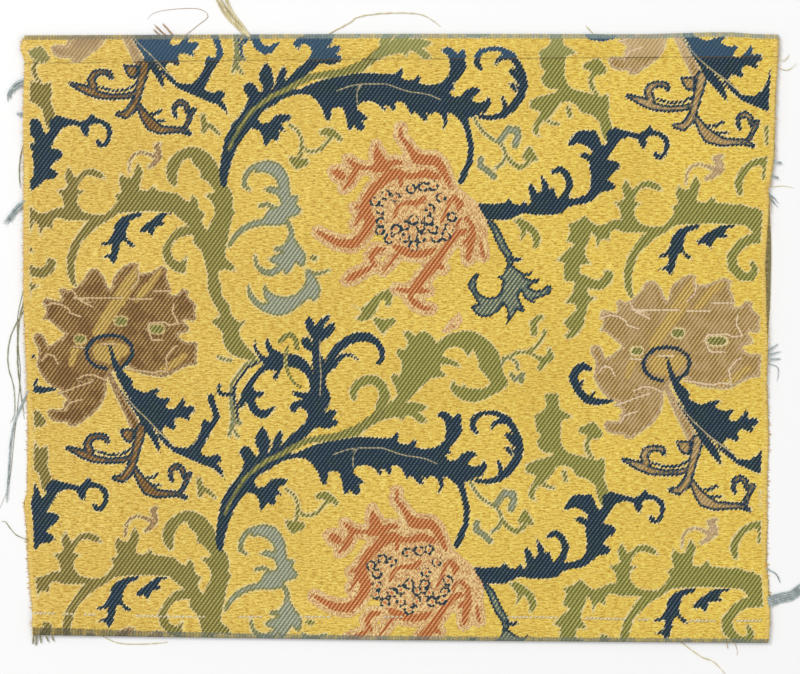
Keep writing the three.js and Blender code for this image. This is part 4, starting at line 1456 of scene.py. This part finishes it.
@dataclass
class SilkLength:
    """The folded silk with its hem, its panel and its turning as one thin sheet."""

    section: Section = Section()
    columns: int = 60
    panel_rows: int = 48
    hem_rows: int = 3
    turning_rows: int = 25
    fold_rows: int = 5
    fine_cuts: int = 4
    plain_turning: float = 7.0
    slack: float = 0.01
    stitch_line: float = -136.0
    stitch_dip: float = 0.22
    stitch_spread: float = 1.6
    stitch_pucker: float = 3.4
    crease_dip: float = 0.35
    unevenness: float = 0.07
    side_waver: float = 0.11
    fold_ease: float = 4.0
    coral_halo: float = 5.5
    seed_margin: float = 3.0
    high_band: float = 2.7
    band_inset: float = 0.4
    # How far inside the bottom fold's edge the painted shadow line stands.
    shadow_line_inset: float = 0.1

    def row_marks(self) -> list[float]:
        """List where the rows of the flat net stand along the length.

        Returns:
            The places, from the hem's raw end on.
        """
        marks = (0.0,) + self.section.marks()
        counts = (self.hem_rows, self.fold_rows, self.panel_rows, self.fold_rows, self.turning_rows)
        rows = [0.0]
        for start, end, count in zip(marks, marks[1:], counts):
            rows += [start + (end - start) * (step + 1) / count for step in range(count)]
        return rows

    def flat_net(self) -> bmesh.types.BMesh:
        """Make the flat net of the cloth, with its two sides and its finer right side.

        Returns:
            The net: x is the share across, y the place along and z minus the depth.
        """
        net = bmesh.new()
        rows = self.row_marks()
        bmesh.ops.create_grid(net, x_segments=self.columns, y_segments=len(rows) - 1, size=0.5)
        for vert in net.verts:
            vert.co.x += 0.5
            vert.co.y = rows[round((vert.co.y + 0.5) * (len(rows) - 1))]
        bmesh.ops.recalc_face_normals(net, faces=net.faces)
        if net.faces[0].normal.z < 0.0:
            bmesh.ops.reverse_faces(net, faces=net.faces)
        lower = bmesh.ops.duplicate(net, geom=net.faces[:] + net.edges[:] + net.verts[:])["geom"]
        under = [part for part in lower if isinstance(part, bmesh.types.BMVert)]
        bmesh.ops.translate(net, verts=under, vec=(0.0, 0.0, -self.section.thickness))
        bmesh.ops.reverse_faces(net, faces=[part for part in lower if isinstance(part, bmesh.types.BMFace)])
        rims = [edge for edge in net.edges if edge.is_boundary]
        bmesh.ops.bridge_loops(net, edges=rims)
        self.cut_net(net)
        return net

    def cut_net(self, net: bmesh.types.BMesh) -> None:
        """Cut the sides that show into smaller faces.

        Args:
            net: The flat net.
        """
        hem, lower_end, panel_end, upper_end, _ = self.section.marks()
        half = self.section.thickness / 2.0
        slack = self.slack
        bare = self.section.unrolled(numpy.array([0.0]))[0]
        back_low = self.section.hem_end - bare
        back_high = self.section.turning_end - bare
        fine = []
        medium = []
        for edge in net.edges:
            first, second = edge.verts
            middle = (first.co + second.co) / 2.0
            across = abs(first.co.y - second.co.y) < slack
            if abs(first.co.z - second.co.z) > half:
                continue
            if middle.z > -half:
                if across and hem - slack <= middle.y <= upper_end + slack:
                    fine.append(edge)
                elif not across and lower_end < middle.y < panel_end:
                    fine.append(edge)
                elif middle.y > upper_end + self.plain_turning:
                    medium.append(edge)
            elif back_low < middle.y < back_high:
                medium.append(edge)
        bmesh.ops.subdivide_edges(net, edges=fine, cuts=self.fine_cuts, use_grid_fill=True)
        kept = [edge for edge in medium if edge.is_valid]
        bmesh.ops.subdivide_edges(net, edges=kept, cuts=1, use_grid_fill=True)

    def shift_at(self, across: numpy.ndarray, upward: numpy.ndarray) -> numpy.ndarray:
        """Give how far the folds' own lines shift a place up or down.

        Args:
            across: Places across.
            upward: Places up.

        Returns:
            The shifts.
        """
        columns = [row.across for row in FOLD_ROWS]
        panel_top = self.section.panel_top
        panel_bottom = self.section.panel_bottom
        top = numpy.interp(across, columns, [row.top - panel_top for row in FOLD_ROWS])
        bottom = numpy.interp(across, columns, [row.bottom - panel_bottom for row in FOLD_ROWS])
        share = numpy.clip((upward - panel_bottom) / (panel_top - panel_bottom), 0.0, 1.0)
        return bottom * (1.0 - share) + top * share

    def crease_up(self, across: numpy.ndarray) -> numpy.ndarray:
        """Give how far up the old crease stands at places across."""
        return numpy.interp(across, CREASE_ACROSS, CREASE_HEIGHTS)

    def relief(self, across: numpy.ndarray, upward: numpy.ndarray) -> numpy.ndarray:
        """Give the panel's ripples, its old crease and the puckers along the stitches.

        Args:
            across: Places across.
            upward: Places up.

        Returns:
            The heights.
        """
        height = numpy.zeros(len(across))
        for ripple in RIPPLES:
            turn = math.radians(ripple.turn)
            offset_x = across - ripple.across
            offset_y = upward - ripple.up
            along = offset_x * math.cos(turn) + offset_y * math.sin(turn)
            aside = offset_y * math.cos(turn) - offset_x * math.sin(turn)
            falling = (along / ripple.length) ** 2 + (aside / ripple.width) ** 2
            height += ripple.height * numpy.exp(-falling)
        crease = upward - self.crease_up(across)
        height -= self.crease_dip * numpy.exp(-(crease**2))
        stitch = upward - self.stitch_line
        pucker = 0.75 + 0.25 * numpy.sin(across * 2.0 * math.pi / self.stitch_pucker)
        height -= self.stitch_dip * numpy.exp(-((stitch / self.stitch_spread) ** 2)) * pucker
        wave = numpy.sin(across / 9.0 + upward / 23.0) * numpy.sin(upward / 11.0 - across / 31.0)
        height += self.unevenness * (1.0 + wave)
        return height

    def make_mesh(self) -> bpy.types.Object:
        """Build the folded sheet with its numbers for the finish.

        Returns:
            The cloth.
        """
        net = self.flat_net()
        mesh = bpy.data.meshes.new("silk_length")
        net.to_mesh(mesh)
        net.free()
        flat = numpy.zeros(len(mesh.vertices) * 3)
        mesh.vertices.foreach_get("co", flat)
        flat = flat.reshape(-1, 3)
        share, along, depth = flat[:, 0], flat[:, 1], -flat[:, 2]
        marks = self.section.marks()
        upward, height = self.section.place(along, depth)
        panel_left, panel_right = side_at(PANEL_SIDES, upward)
        turn_left, turn_right = side_at(TURNING_SIDES, upward)
        turned = along > marks[3]
        left = numpy.where(turned, turn_left, panel_left)
        right = numpy.where(turned, turn_right, panel_right)
        across = left + (right - left) * share
        raw = (share < 0.001) | (share > 0.999)
        ragged = numpy.sin(upward * 5.1) + numpy.sin(upward * 2.3 + share * 3.0) + numpy.sin(upward * 0.9)
        across = across + numpy.where(raw, ragged * self.side_waver, 0.0)
        shift = self.shift_at(across, upward)
        on_panel = (along > marks[1]) & (along < marks[2])
        inset = numpy.minimum(along - marks[1], marks[2] - along)
        ease = numpy.clip(inset / self.fold_ease, 0.0, 1.0) * on_panel
        height = height + self.relief(across, upward) * ease
        folded = numpy.stack([across, upward + shift, height], axis=1) * MM
        unrolled = self.section.unrolled(along)
        level = numpy.where(on_panel, upward, unrolled)
        woven = level + shift
        mesh.vertices.foreach_set("co", folded.ravel())
        self.mark_weave(mesh, across, woven, level, left, right)
        self.lay_on_picture(mesh, share, along, depth)
        mesh.update()
        body = bmesh.new()
        body.from_mesh(mesh)
        bmesh.ops.recalc_face_normals(body, faces=body.faces)
        for face in body.faces:
            face.smooth = True
        body.to_mesh(mesh)
        body.free()
        piece = bpy.data.objects.new("silk_length", mesh)
        bpy.context.scene.collection.objects.link(piece)
        LOG.info("silk length: %d faces", len(mesh.polygons))
        return piece

    def mark_weave(
        self,
        mesh: bpy.types.Mesh,
        across: numpy.ndarray,
        woven: numpy.ndarray,
        level: numpy.ndarray,
        left: numpy.ndarray,
        right: numpy.ndarray,
    ) -> None:
        """Keep the figures' distances, the wear, and the places of the painted crease shade and the painted
        shadow line along the bottom fold on the mesh.

        Args:
            mesh: The cloth's mesh.
            across: Places across, in millimetres.
            woven: Places along the weave's own plane.
            level: The same places before the edge's small waves.
            left: The left side at each place.
            right: The right side at each place.
        """
        chart = FigureChart()
        places = numpy.stack([relaxed(across), woven], axis=1)
        band = SELVEDGE_STEPS * CHART_STEP
        outside = numpy.maximum(left + band - across, across - right + band)
        tables = {
            Dye.NAVY: NAVY_FIGURES,
            Dye.OLIVE: OLIVE_FIGURES,
            Dye.GREEN: GREEN_FIGURES,
            Dye.GREY: GREY_FIGURES,
            Dye.CORAL: CORAL_FIGURES,
            Dye.PEACH: PEACH_FIGURES,
            Dye.BROWN: BROWN_FIGURES,
            Dye.BRANCH: BRANCH_FIGURES,
            Dye.PENDANT: PENDANT_FIGURES,
        }
        fields = {dye.value: chart.field(places, figures) for dye, figures in tables.items()}
        halo = self.coral_halo * CHART_STEP
        fields["peach"] = numpy.minimum(fields["peach"], fields["coral"] - halo)
        fields["brown"] = numpy.minimum(fields["brown"], chart.field(places, STALK_FIGURES))
        fields["gold"] = chart.field(places, GOLD_FIGURES)
        fields["flower_spot"] = chart.field(places, FLOWER_SPOTS)
        for name in fields:
            fields[name] = numpy.maximum(fields[name], outside)
        fields["seed"] = numpy.maximum(chart.seeds(places), outside + self.seed_margin)
        fields["vein_side"], fields["vein_reach"] = chart.veins(places, VEINS)
        fields["seam_side"], fields["seam_reach"] = chart.veins(places, FLOWER_SEAMS)
        fields["weave_across"] = across
        fields["side_gap"] = numpy.minimum(across - left, right - across)
        fields["weave_along"] = woven
        top = self.section.panel_top - numpy.abs(level)
        low_band = numpy.interp(across, LOW_BAND_ACROSS, LOW_BAND_WIDTHS)
        band_width = numpy.where(woven > 0.0, self.high_band, low_band)
        fields["fold_wear"] = numpy.abs(top + self.band_inset) - band_width
        # Distance to the bottom fold's edge, which places the painted shadow line there.
        fields["low_rim_shadow"] = level - self.section.panel_bottom + self.shadow_line_inset
        fields["crease"] = woven - self.crease_up(across)
        for name, values in fields.items():
            layer = mesh.attributes.new(name, "FLOAT", "POINT")
            layer.data.foreach_set("value", values.astype(numpy.float32))

    def lay_on_picture(
        self, mesh: bpy.types.Mesh, share: numpy.ndarray, along: numpy.ndarray, depth: numpy.ndarray
    ) -> None:
        """Give every face its place on the baked picture.

        Args:
            mesh: The cloth's mesh.
            share: The share across of each vertex.
            along: The place along of each vertex.
            depth: The depth of each vertex.
        """
        hem, _, panel_end, upper_end, end = self.section.marks()
        thickness = self.section.thickness
        layer = mesh.uv_layers.new(name="OFBake")
        corners = numpy.zeros(len(mesh.loops), dtype=numpy.int32)
        mesh.loops.foreach_get("vertex_index", corners)
        counts = numpy.zeros(len(mesh.polygons), dtype=numpy.int32)
        mesh.polygons.foreach_get("loop_total", counts)
        faces = numpy.repeat(numpy.arange(len(counts)), counts)
        mid_along = (numpy.bincount(faces, along[corners]) / counts)[faces]
        mid_depth = (numpy.bincount(faces, depth[corners]) / counts)[faces]
        right_side = mid_depth < thickness * 0.25
        wrong_side = mid_depth > thickness * 0.75
        places = numpy.zeros((len(corners), 2))
        rules = (
            (Zone.PANEL, right_side & (mid_along > hem) & (mid_along < upper_end), hem, upper_end),
            (Zone.TURNING, right_side & (mid_along >= upper_end), upper_end, end),
            (Zone.HEM, right_side & (mid_along <= hem), 0.0, hem),
            (Zone.PANEL_BACK, wrong_side & (mid_along > hem) & (mid_along < panel_end), hem, panel_end),
            (Zone.HIDDEN_BACK, wrong_side & ((mid_along <= hem) | (mid_along >= panel_end)), 0.0, end),
        )
        rim = numpy.ones(len(corners), dtype=bool)
        for zone, chosen, start, stop in rules:
            left, low, width, height = zone.value
            places[chosen, 0] = left + width * share[corners][chosen]
            places[chosen, 1] = low + height * (along[corners][chosen] - start) / (stop - start)
            rim &= ~chosen
        left, low, width, height = Zone.RIM.value
        places[rim, 0] = left + width * (0.45 * share[corners][rim] + 0.5 * depth[corners][rim] / thickness)
        places[rim, 1] = low + height * along[corners][rim] / end
        layer.data.foreach_set("uv", places.astype(numpy.float32).ravel())
        backs = (numpy.bincount(faces, depth[corners]) / counts) > thickness * 0.5
        mesh.polygons.foreach_set("material_index", backs.astype(numpy.int32))

    def build(self) -> bpy.types.Object:
        """Build the cloth and dress it.

        Returns:
            The finished cloth.
        """
        piece = self.make_mesh()
        weave = SilkWeave()
        piece.data.materials.append(weave.build())
        piece.data.materials.append(weave.build(wrong_side=True))
        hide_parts("cloth")
        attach(piece, "root")
        return piece


@dataclass
class YarnGroup:
    """A group of loose yarns that lie together and share a finish."""

    name: str
    yarns: tuple[LooseYarn, ...]
    finish: YarnFinish
    slot: str
    replaced: tuple[str, ...]
    root_height: float = 1.0
    spacing: float = 1.2
    seed: int = 3
    plied_share: float = 3.4
    ply_turn: float = 0.55
    opening: float = 0.8
    landing: float = 5.0
    thinning: float = 0.6

    def smooth_path(self, corners: numpy.ndarray) -> numpy.ndarray:
        """Round a path and space it evenly.

        Args:
            corners: The path's points.

        Returns:
            Points at the group's spacing.
        """
        ends = numpy.concatenate([[2 * corners[0] - corners[1]], corners, [2 * corners[-1] - corners[-2]]])
        rounded = []
        for index in range(1, len(ends) - 2):
            before, start, end, after = ends[index - 1], ends[index], ends[index + 1], ends[index + 2]
            pieces = max(2, int(numpy.hypot(*(end - start)) / self.spacing))
            for step in range(pieces):
                share = step / pieces
                square = share * share
                cube = square * share
                rounded.append(
                    0.5 * (2 * start + (end - before) * share)
                    + 0.5 * (2 * before - 5 * start + 4 * end - after) * square
                    + 0.5 * (3 * start - before - 3 * end + after) * cube
                )
        rounded.append(corners[-1])
        return numpy.array(rounded)

    def add_strand(self, curve: bpy.types.Curve, points: list, radii: list) -> None:
        """Add one strand to the group's curve.

        Args:
            curve: The curve.
            points: Its points, in metres.
            radii: Its radius at each point, in metres.
        """
        spline = curve.splines.new("POLY")
        spline.points.add(len(points) - 1)
        for point, place, radius in zip(spline.points, points, radii):
            point.co = (place[0], place[1], place[2], 1.0)
            point.radius = radius

    def lay_yarn(self, curve: bpy.types.Curve, yarn: LooseYarn, chooser: random.Random) -> None:
        """Lay one yarn of several strands along its path.

        Args:
            curve: The group's curve.
            yarn: The yarn.
            chooser: Where its unevenness comes from.
        """
        path = self.smooth_path(millimetre_points(yarn.path))
        radius = yarn.width / (2.0 if yarn.strands == 1 else self.plied_share)
        for strand in range(yarn.strands):
            phase = 2.0 * math.pi * strand / yarn.strands + chooser.uniform(-0.3, 0.3)
            stop = len(path) - (chooser.randint(0, 2) if len(path) > 6 else 0)
            points = []
            radii = []
            for index in range(stop):
                share = index / max(1, stop - 1)
                before = path[max(0, index - 1)]
                after = path[min(len(path) - 1, index + 1)]
                run = after - before
                length = max(float(numpy.hypot(run[0], run[1])), 1e-6)
                turn = phase + index * self.spacing * self.ply_turn
                spread = (yarn.width - 2.0 * radius) / 2.0 * (1.0 + self.opening * share * share)
                aside = spread * math.cos(turn)
                lift = max(0.0, self.root_height * (1.0 - index * self.spacing / self.landing))
                height = lift + radius + abs(spread) + spread * math.sin(turn)
                points.append(
                    (
                        (path[index][0] - run[1] / length * aside) * MM,
                        (path[index][1] + run[0] / length * aside) * MM,
                        height * MM,
                    )
                )
                radii.append(radius * (1.0 - self.thinning * share**3) * MM)
            self.add_strand(curve, points, radii)

    def finish_piece(self, curve: bpy.types.Curve) -> bpy.types.Object:
        """Turn the group's curve into a closed mesh and dress it.

        Args:
            curve: The curve with all strands.

        Returns:
            The finished piece.
        """
        curve.dimensions = "3D"
        curve.bevel_depth = 1.0
        curve.bevel_resolution = 0
        curve.use_fill_caps = True
        helper = bpy.data.objects.new(self.name + "_curve", curve)
        bpy.context.scene.collection.objects.link(helper)
        bpy.context.view_layer.update()
        graph = bpy.context.evaluated_depsgraph_get()
        mesh = bpy.data.meshes.new_from_object(helper.evaluated_get(graph))
        bpy.data.objects.remove(helper)
        bpy.data.curves.remove(curve)
        mesh.name = self.name
        body = bmesh.new()
        body.from_mesh(mesh)
        bmesh.ops.remove_doubles(body, verts=body.verts, dist=1e-7)
        bmesh.ops.recalc_face_normals(body, faces=body.faces)
        for face in body.faces:
            face.smooth = True
            face.material_index = 0
        body.to_mesh(mesh)
        body.free()
        mesh.materials.clear()
        mesh.materials.append(self.finish.build())
        piece = bpy.data.objects.new(self.name, mesh)
        bpy.context.scene.collection.objects.link(piece)
        if self.replaced:
            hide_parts(*self.replaced)
        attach(piece, "root")
        LOG.info("%s: %d faces", self.name, len(mesh.polygons))
        return piece

    def build(self) -> bpy.types.Object:
        """Build the whole group.

        Returns:
            The finished piece.
        """
        chooser = random.Random(self.seed)
        curve = bpy.data.curves.new(self.name, "CURVE")
        for yarn in self.yarns:
            self.lay_yarn(curve, yarn, chooser)
        return self.finish_piece(curve)


@dataclass
class EdgeEnds(YarnGroup):
    """The short ends of weft that stand out of one raw side."""

    sign: float = -1.0
    pitch: float = 0.8
    longest: float = 1.9
    shortest: float = 0.3
    radius: float = 0.2
    low_margin: float = 2.0
    high_margin: float = 1.5
    root_depth: float = 0.7

    def build(self) -> bpy.types.Object:
        """Build the row of short ends.

        Returns:
            The finished piece.
        """
        chooser = random.Random(self.seed)
        curve = bpy.data.curves.new(self.name, "CURVE")
        section = Section()
        upward = section.panel_bottom + self.low_margin
        while upward < section.panel_top - self.high_margin:
            level = numpy.array([upward])
            left, right = side_at(PANEL_SIDES, level)
            edge = float(left[0]) if self.sign < 0 else float(right[0])
            height = section.low + float(section.lift(level)[0])
            reach = chooser.uniform(self.shortest, self.longest) * chooser.uniform(0.5, 1.0)
            droop = chooser.uniform(-0.5, 0.35)
            down = min(height - self.radius, chooser.uniform(0.0, 0.7))
            inside = edge - self.sign * self.root_depth
            places = (
                (inside, upward, height),
                (edge + self.sign * reach * 0.5, upward + droop * 0.3, height - down * 0.4),
                (edge + self.sign * reach, upward + droop, height - down),
            )
            points = [tuple(part * MM for part in place) for place in places]
            thick = self.radius * chooser.uniform(0.7, 1.15)
            self.add_strand(curve, points, [thick * MM, thick * MM, thick * 0.45 * MM])
            upward += self.pitch * chooser.uniform(0.6, 1.4)
        return self.finish_piece(curve)


STITCHED_STRETCHES: tuple[tuple[float, float], ...] = (
    (-178.2, -169.0),
    (-164.0, -159.3),
    (-153.4, -147.6),
    (-128.7, -94.7),
    (-78.2, -67.0),
    (-48.6, -34.0),
    (-8.0, 1.0),
    (52.0, 76.7),
    (89.8, 109.3),
    (115.6, 121.4),
    (140.8, 153.4),
    (163.2, 174.8),
)
STITCH_LINE: tuple[tuple[float, ...], tuple[float, ...]] = (
    (-178.0, -112.0, 64.0, 147.0, 176.0),
    (-134.0, -135.8, -136.0, -137.8, -137.7),
)


@dataclass
class HemStitches(YarnGroup):
    """The running stitches that hold the narrow hem."""

    pitch: float = 1.9
    length: float = 1.6
    radius: float = 0.42
    slant: float = 0.95
    arch: float = 0.36
    root_depth: float = 0.12
    steps: int = 5

    def build(self) -> bpy.types.Object:
        """Build the row of stitches.

        Returns:
            The finished piece.
        """
        chooser = random.Random(self.seed)
        curve = bpy.data.curves.new(self.name, "CURVE")
        cloth = SilkLength()
        for start, stop in STITCHED_STRETCHES:
            across = start
            while across < stop:
                self.add_stitch(curve, cloth, across, chooser)
                across += self.pitch * chooser.uniform(0.85, 1.15)
        return self.finish_piece(curve)

    def add_stitch(
        self, curve: bpy.types.Curve, cloth: SilkLength, across: float, chooser: random.Random
    ) -> None:
        """Lay one slanting stitch on the cloth.

        Args:
            curve: The curve that takes the stitch.
            cloth: The cloth that carries it.
            across: Where the stitch starts, in millimetres.
            chooser: The chance maker.
        """
        points = []
        reach = self.length * chooser.uniform(0.75, 1.1)
        tilt = self.slant * chooser.uniform(0.5, 1.3)
        level = float(numpy.interp(across, STITCH_LINE[0], STITCH_LINE[1]))
        for step in range(self.steps + 1):
            share = step / self.steps
            place_x = across + reach * share
            place_y = level + tilt * (share - 0.5)
            spot_x = numpy.array([place_x])
            spot_y = numpy.array([place_y])
            top = cloth.section.thickness + float(cloth.section.lift(spot_y)[0])
            top += float(cloth.relief(spot_x, spot_y)[0])
            arch = math.sin(math.pi * share) * self.arch - self.root_depth
            points.append((place_x * MM, place_y * MM, (top + arch) * MM))
        thick = self.radius * MM
        ends = [thick * 0.7]
        self.add_strand(curve, points, ends + [thick] * (self.steps - 1) + ends)


YELLOW = YarnFinish("yellow_yarn", (222, 182, 92), (244, 218, 138), (176, 132, 60))
CREAM = YarnFinish("cream_yarn", (224, 210, 158), (244, 236, 200), (186, 164, 104))
TAN = YarnFinish("tan_yarn", (166, 126, 86), (208, 178, 136), (118, 84, 52))
BLUE_GREY = YarnFinish("blue_grey_yarn", (164, 178, 176), (208, 218, 218), (114, 130, 132))
PALE_TAN = YarnFinish("pale_tan_yarn", (204, 182, 138), (232, 216, 178), (160, 132, 92))
OLIVE_GREY = YarnFinish("olive_grey_yarn", (146, 142, 98), (190, 184, 140), (96, 96, 66))
THREAD = YarnFinish("sewing_thread", (226, 214, 178), (246, 240, 214), (182, 160, 112))


@dataclass
class Studio:
    """The pale floor, the soft lights and the camera straight above."""

    lens: float = 100.0
    sensor: float = 36.0
    view_width: float = 388.5
    cloth_level: float = 2.0
    floor_half: float = 2.5
    floor_level: float = -0.05
    floor_tint: tuple[float, float, float] = (252, 252, 252)
    sky: float = 0.58

    def build(self) -> None:
        """Set up the floor, the lights and the camera."""
        net = bmesh.new()
        bmesh.ops.create_grid(net, x_segments=1, y_segments=1, size=self.floor_half)
        mesh = bpy.data.meshes.new("floor")
        net.to_mesh(mesh)
        net.free()
        floor = bpy.data.objects.new("floor", mesh)
        floor.location.z = self.floor_level * MM
        board = NodeBoard("pale_floor")
        board.surface.inputs["Base Color"].default_value = linear(*self.floor_tint)
        board.surface.inputs["Roughness"].default_value = 0.9
        board.surface.inputs["Specular IOR Level"].default_value = 0.1
        mesh.materials.append(board.material)
        bpy.context.scene.collection.objects.link(floor)
        self.add_light("key_light", (-1.6, 1.7, 2.3), 1.3, 52.0)
        self.add_light("fill_light", (1.8, -1.4, 2.4), 1.8, 14.0)
        world = bpy.data.worlds.new("studio_world")
        world.use_nodes = True
        world.node_tree.nodes["Background"].inputs[0].default_value = (1.0, 1.0, 1.0, 1.0)
        world.node_tree.nodes["Background"].inputs[1].default_value = self.sky
        bpy.context.scene.world = world
        camera_data = bpy.data.cameras.new("camera")
        camera_data.lens = self.lens
        camera_data.sensor_width = self.sensor
        camera_data.clip_start = 0.05
        camera = bpy.data.objects.new("camera", camera_data)
        camera.location = (0.0, 0.0, (self.view_width * self.lens / self.sensor + self.cloth_level) * MM)
        bpy.context.scene.collection.objects.link(camera)
        bpy.context.scene.camera = camera
        bpy.context.scene.view_settings.view_transform = "Standard"

    def add_light(self, name: str, place: tuple[float, float, float], size: float, power: float) -> None:
        """Hang one soft light that looks at the middle.

        Args:
            name: Its name.
            place: Where it hangs, in metres.
            size: Its side, in metres.
            power: Its power, in watts.
        """
        data = bpy.data.lights.new(name, "AREA")
        data.size = size
        data.energy = power
        light = bpy.data.objects.new(name, data)
        light.location = place
        aim = -light.location
        light.rotation_euler = aim.to_track_quat("-Z", "Y").to_euler()
        bpy.context.scene.collection.objects.link(light)


def yarn_groups() -> list[YarnGroup]:
    """List the groups of loose yarns and stitches.

    Returns:
        The groups, in the order in which they are made.
    """
    return [
        EdgeEnds("left_short_ends", (), YELLOW, "yellow_yarn", ("left_edge_fray",), seed=11, sign=-1.0),
        EdgeEnds("right_short_ends", (), YELLOW, "yellow_yarn", ("right_edge_fray",), seed=12, sign=1.0),
        YarnGroup("left_tufts", LEFT_TUFT_YARNS, BLUE_GREY, "blue_grey_yarn", ("left_edge_fray",)),
        YarnGroup("left_long_yarns", LEFT_LONG_YARNS, OLIVE_GREY, "blue_grey_yarn", ("left_edge_fray",)),
        YarnGroup("right_dark_yarns", RIGHT_DARK_YARNS, BLUE_GREY, "blue_grey_yarn", ("right_edge_fray",)),
        YarnGroup("right_pale_yarns", RIGHT_PALE_YARNS, CREAM, "cream_yarn", ("right_edge_fray",)),
        YarnGroup("tan_ends", TOP_TAN_YARNS, TAN, "tan_yarn", ("top_tan_ends",)),
        YarnGroup("cream_tuft", TOP_TUFT_YARNS, CREAM, "cream_yarn", ("top_cream_tuft",)),
        YarnGroup("cream_arc", TOP_ARC_YARNS, CREAM, "cream_yarn", ("top_cream_arc",)),
        YarnGroup("short_end", TOP_SHORT_YARNS, CREAM, "cream_yarn", ("top_short_end",)),
        YarnGroup("corner_fray", CORNER_YARNS, OLIVE_GREY, "yellow_yarn", ("bottom_corner_fray",)),
        YarnGroup("bowed_yarn", BOWED_YARNS, CREAM, "cream_yarn", ("bottom_bowed_yarn",)),
        YarnGroup("cream_end", BOTTOM_CREAM_YARNS, CREAM, "cream_yarn", ("bottom_cream_end",)),
        YarnGroup("stub_ends", STUB_YARNS, PALE_TAN, "tan_yarn", ("bottom_stub_ends",)),
        HemStitches("hem_stitches", (), THREAD, "sewing_thread", ()),
    ]


def main() -> None:
    """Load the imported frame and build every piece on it."""
    logging.basicConfig(level=logging.INFO)
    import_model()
    cloth = SilkLength().build()
    pieces = [group.build() for group in yarn_groups()]
    length = SilkLength().section.marks()[-1] * MM
    Studio().build()


if __name__ == "__main__":
    main()
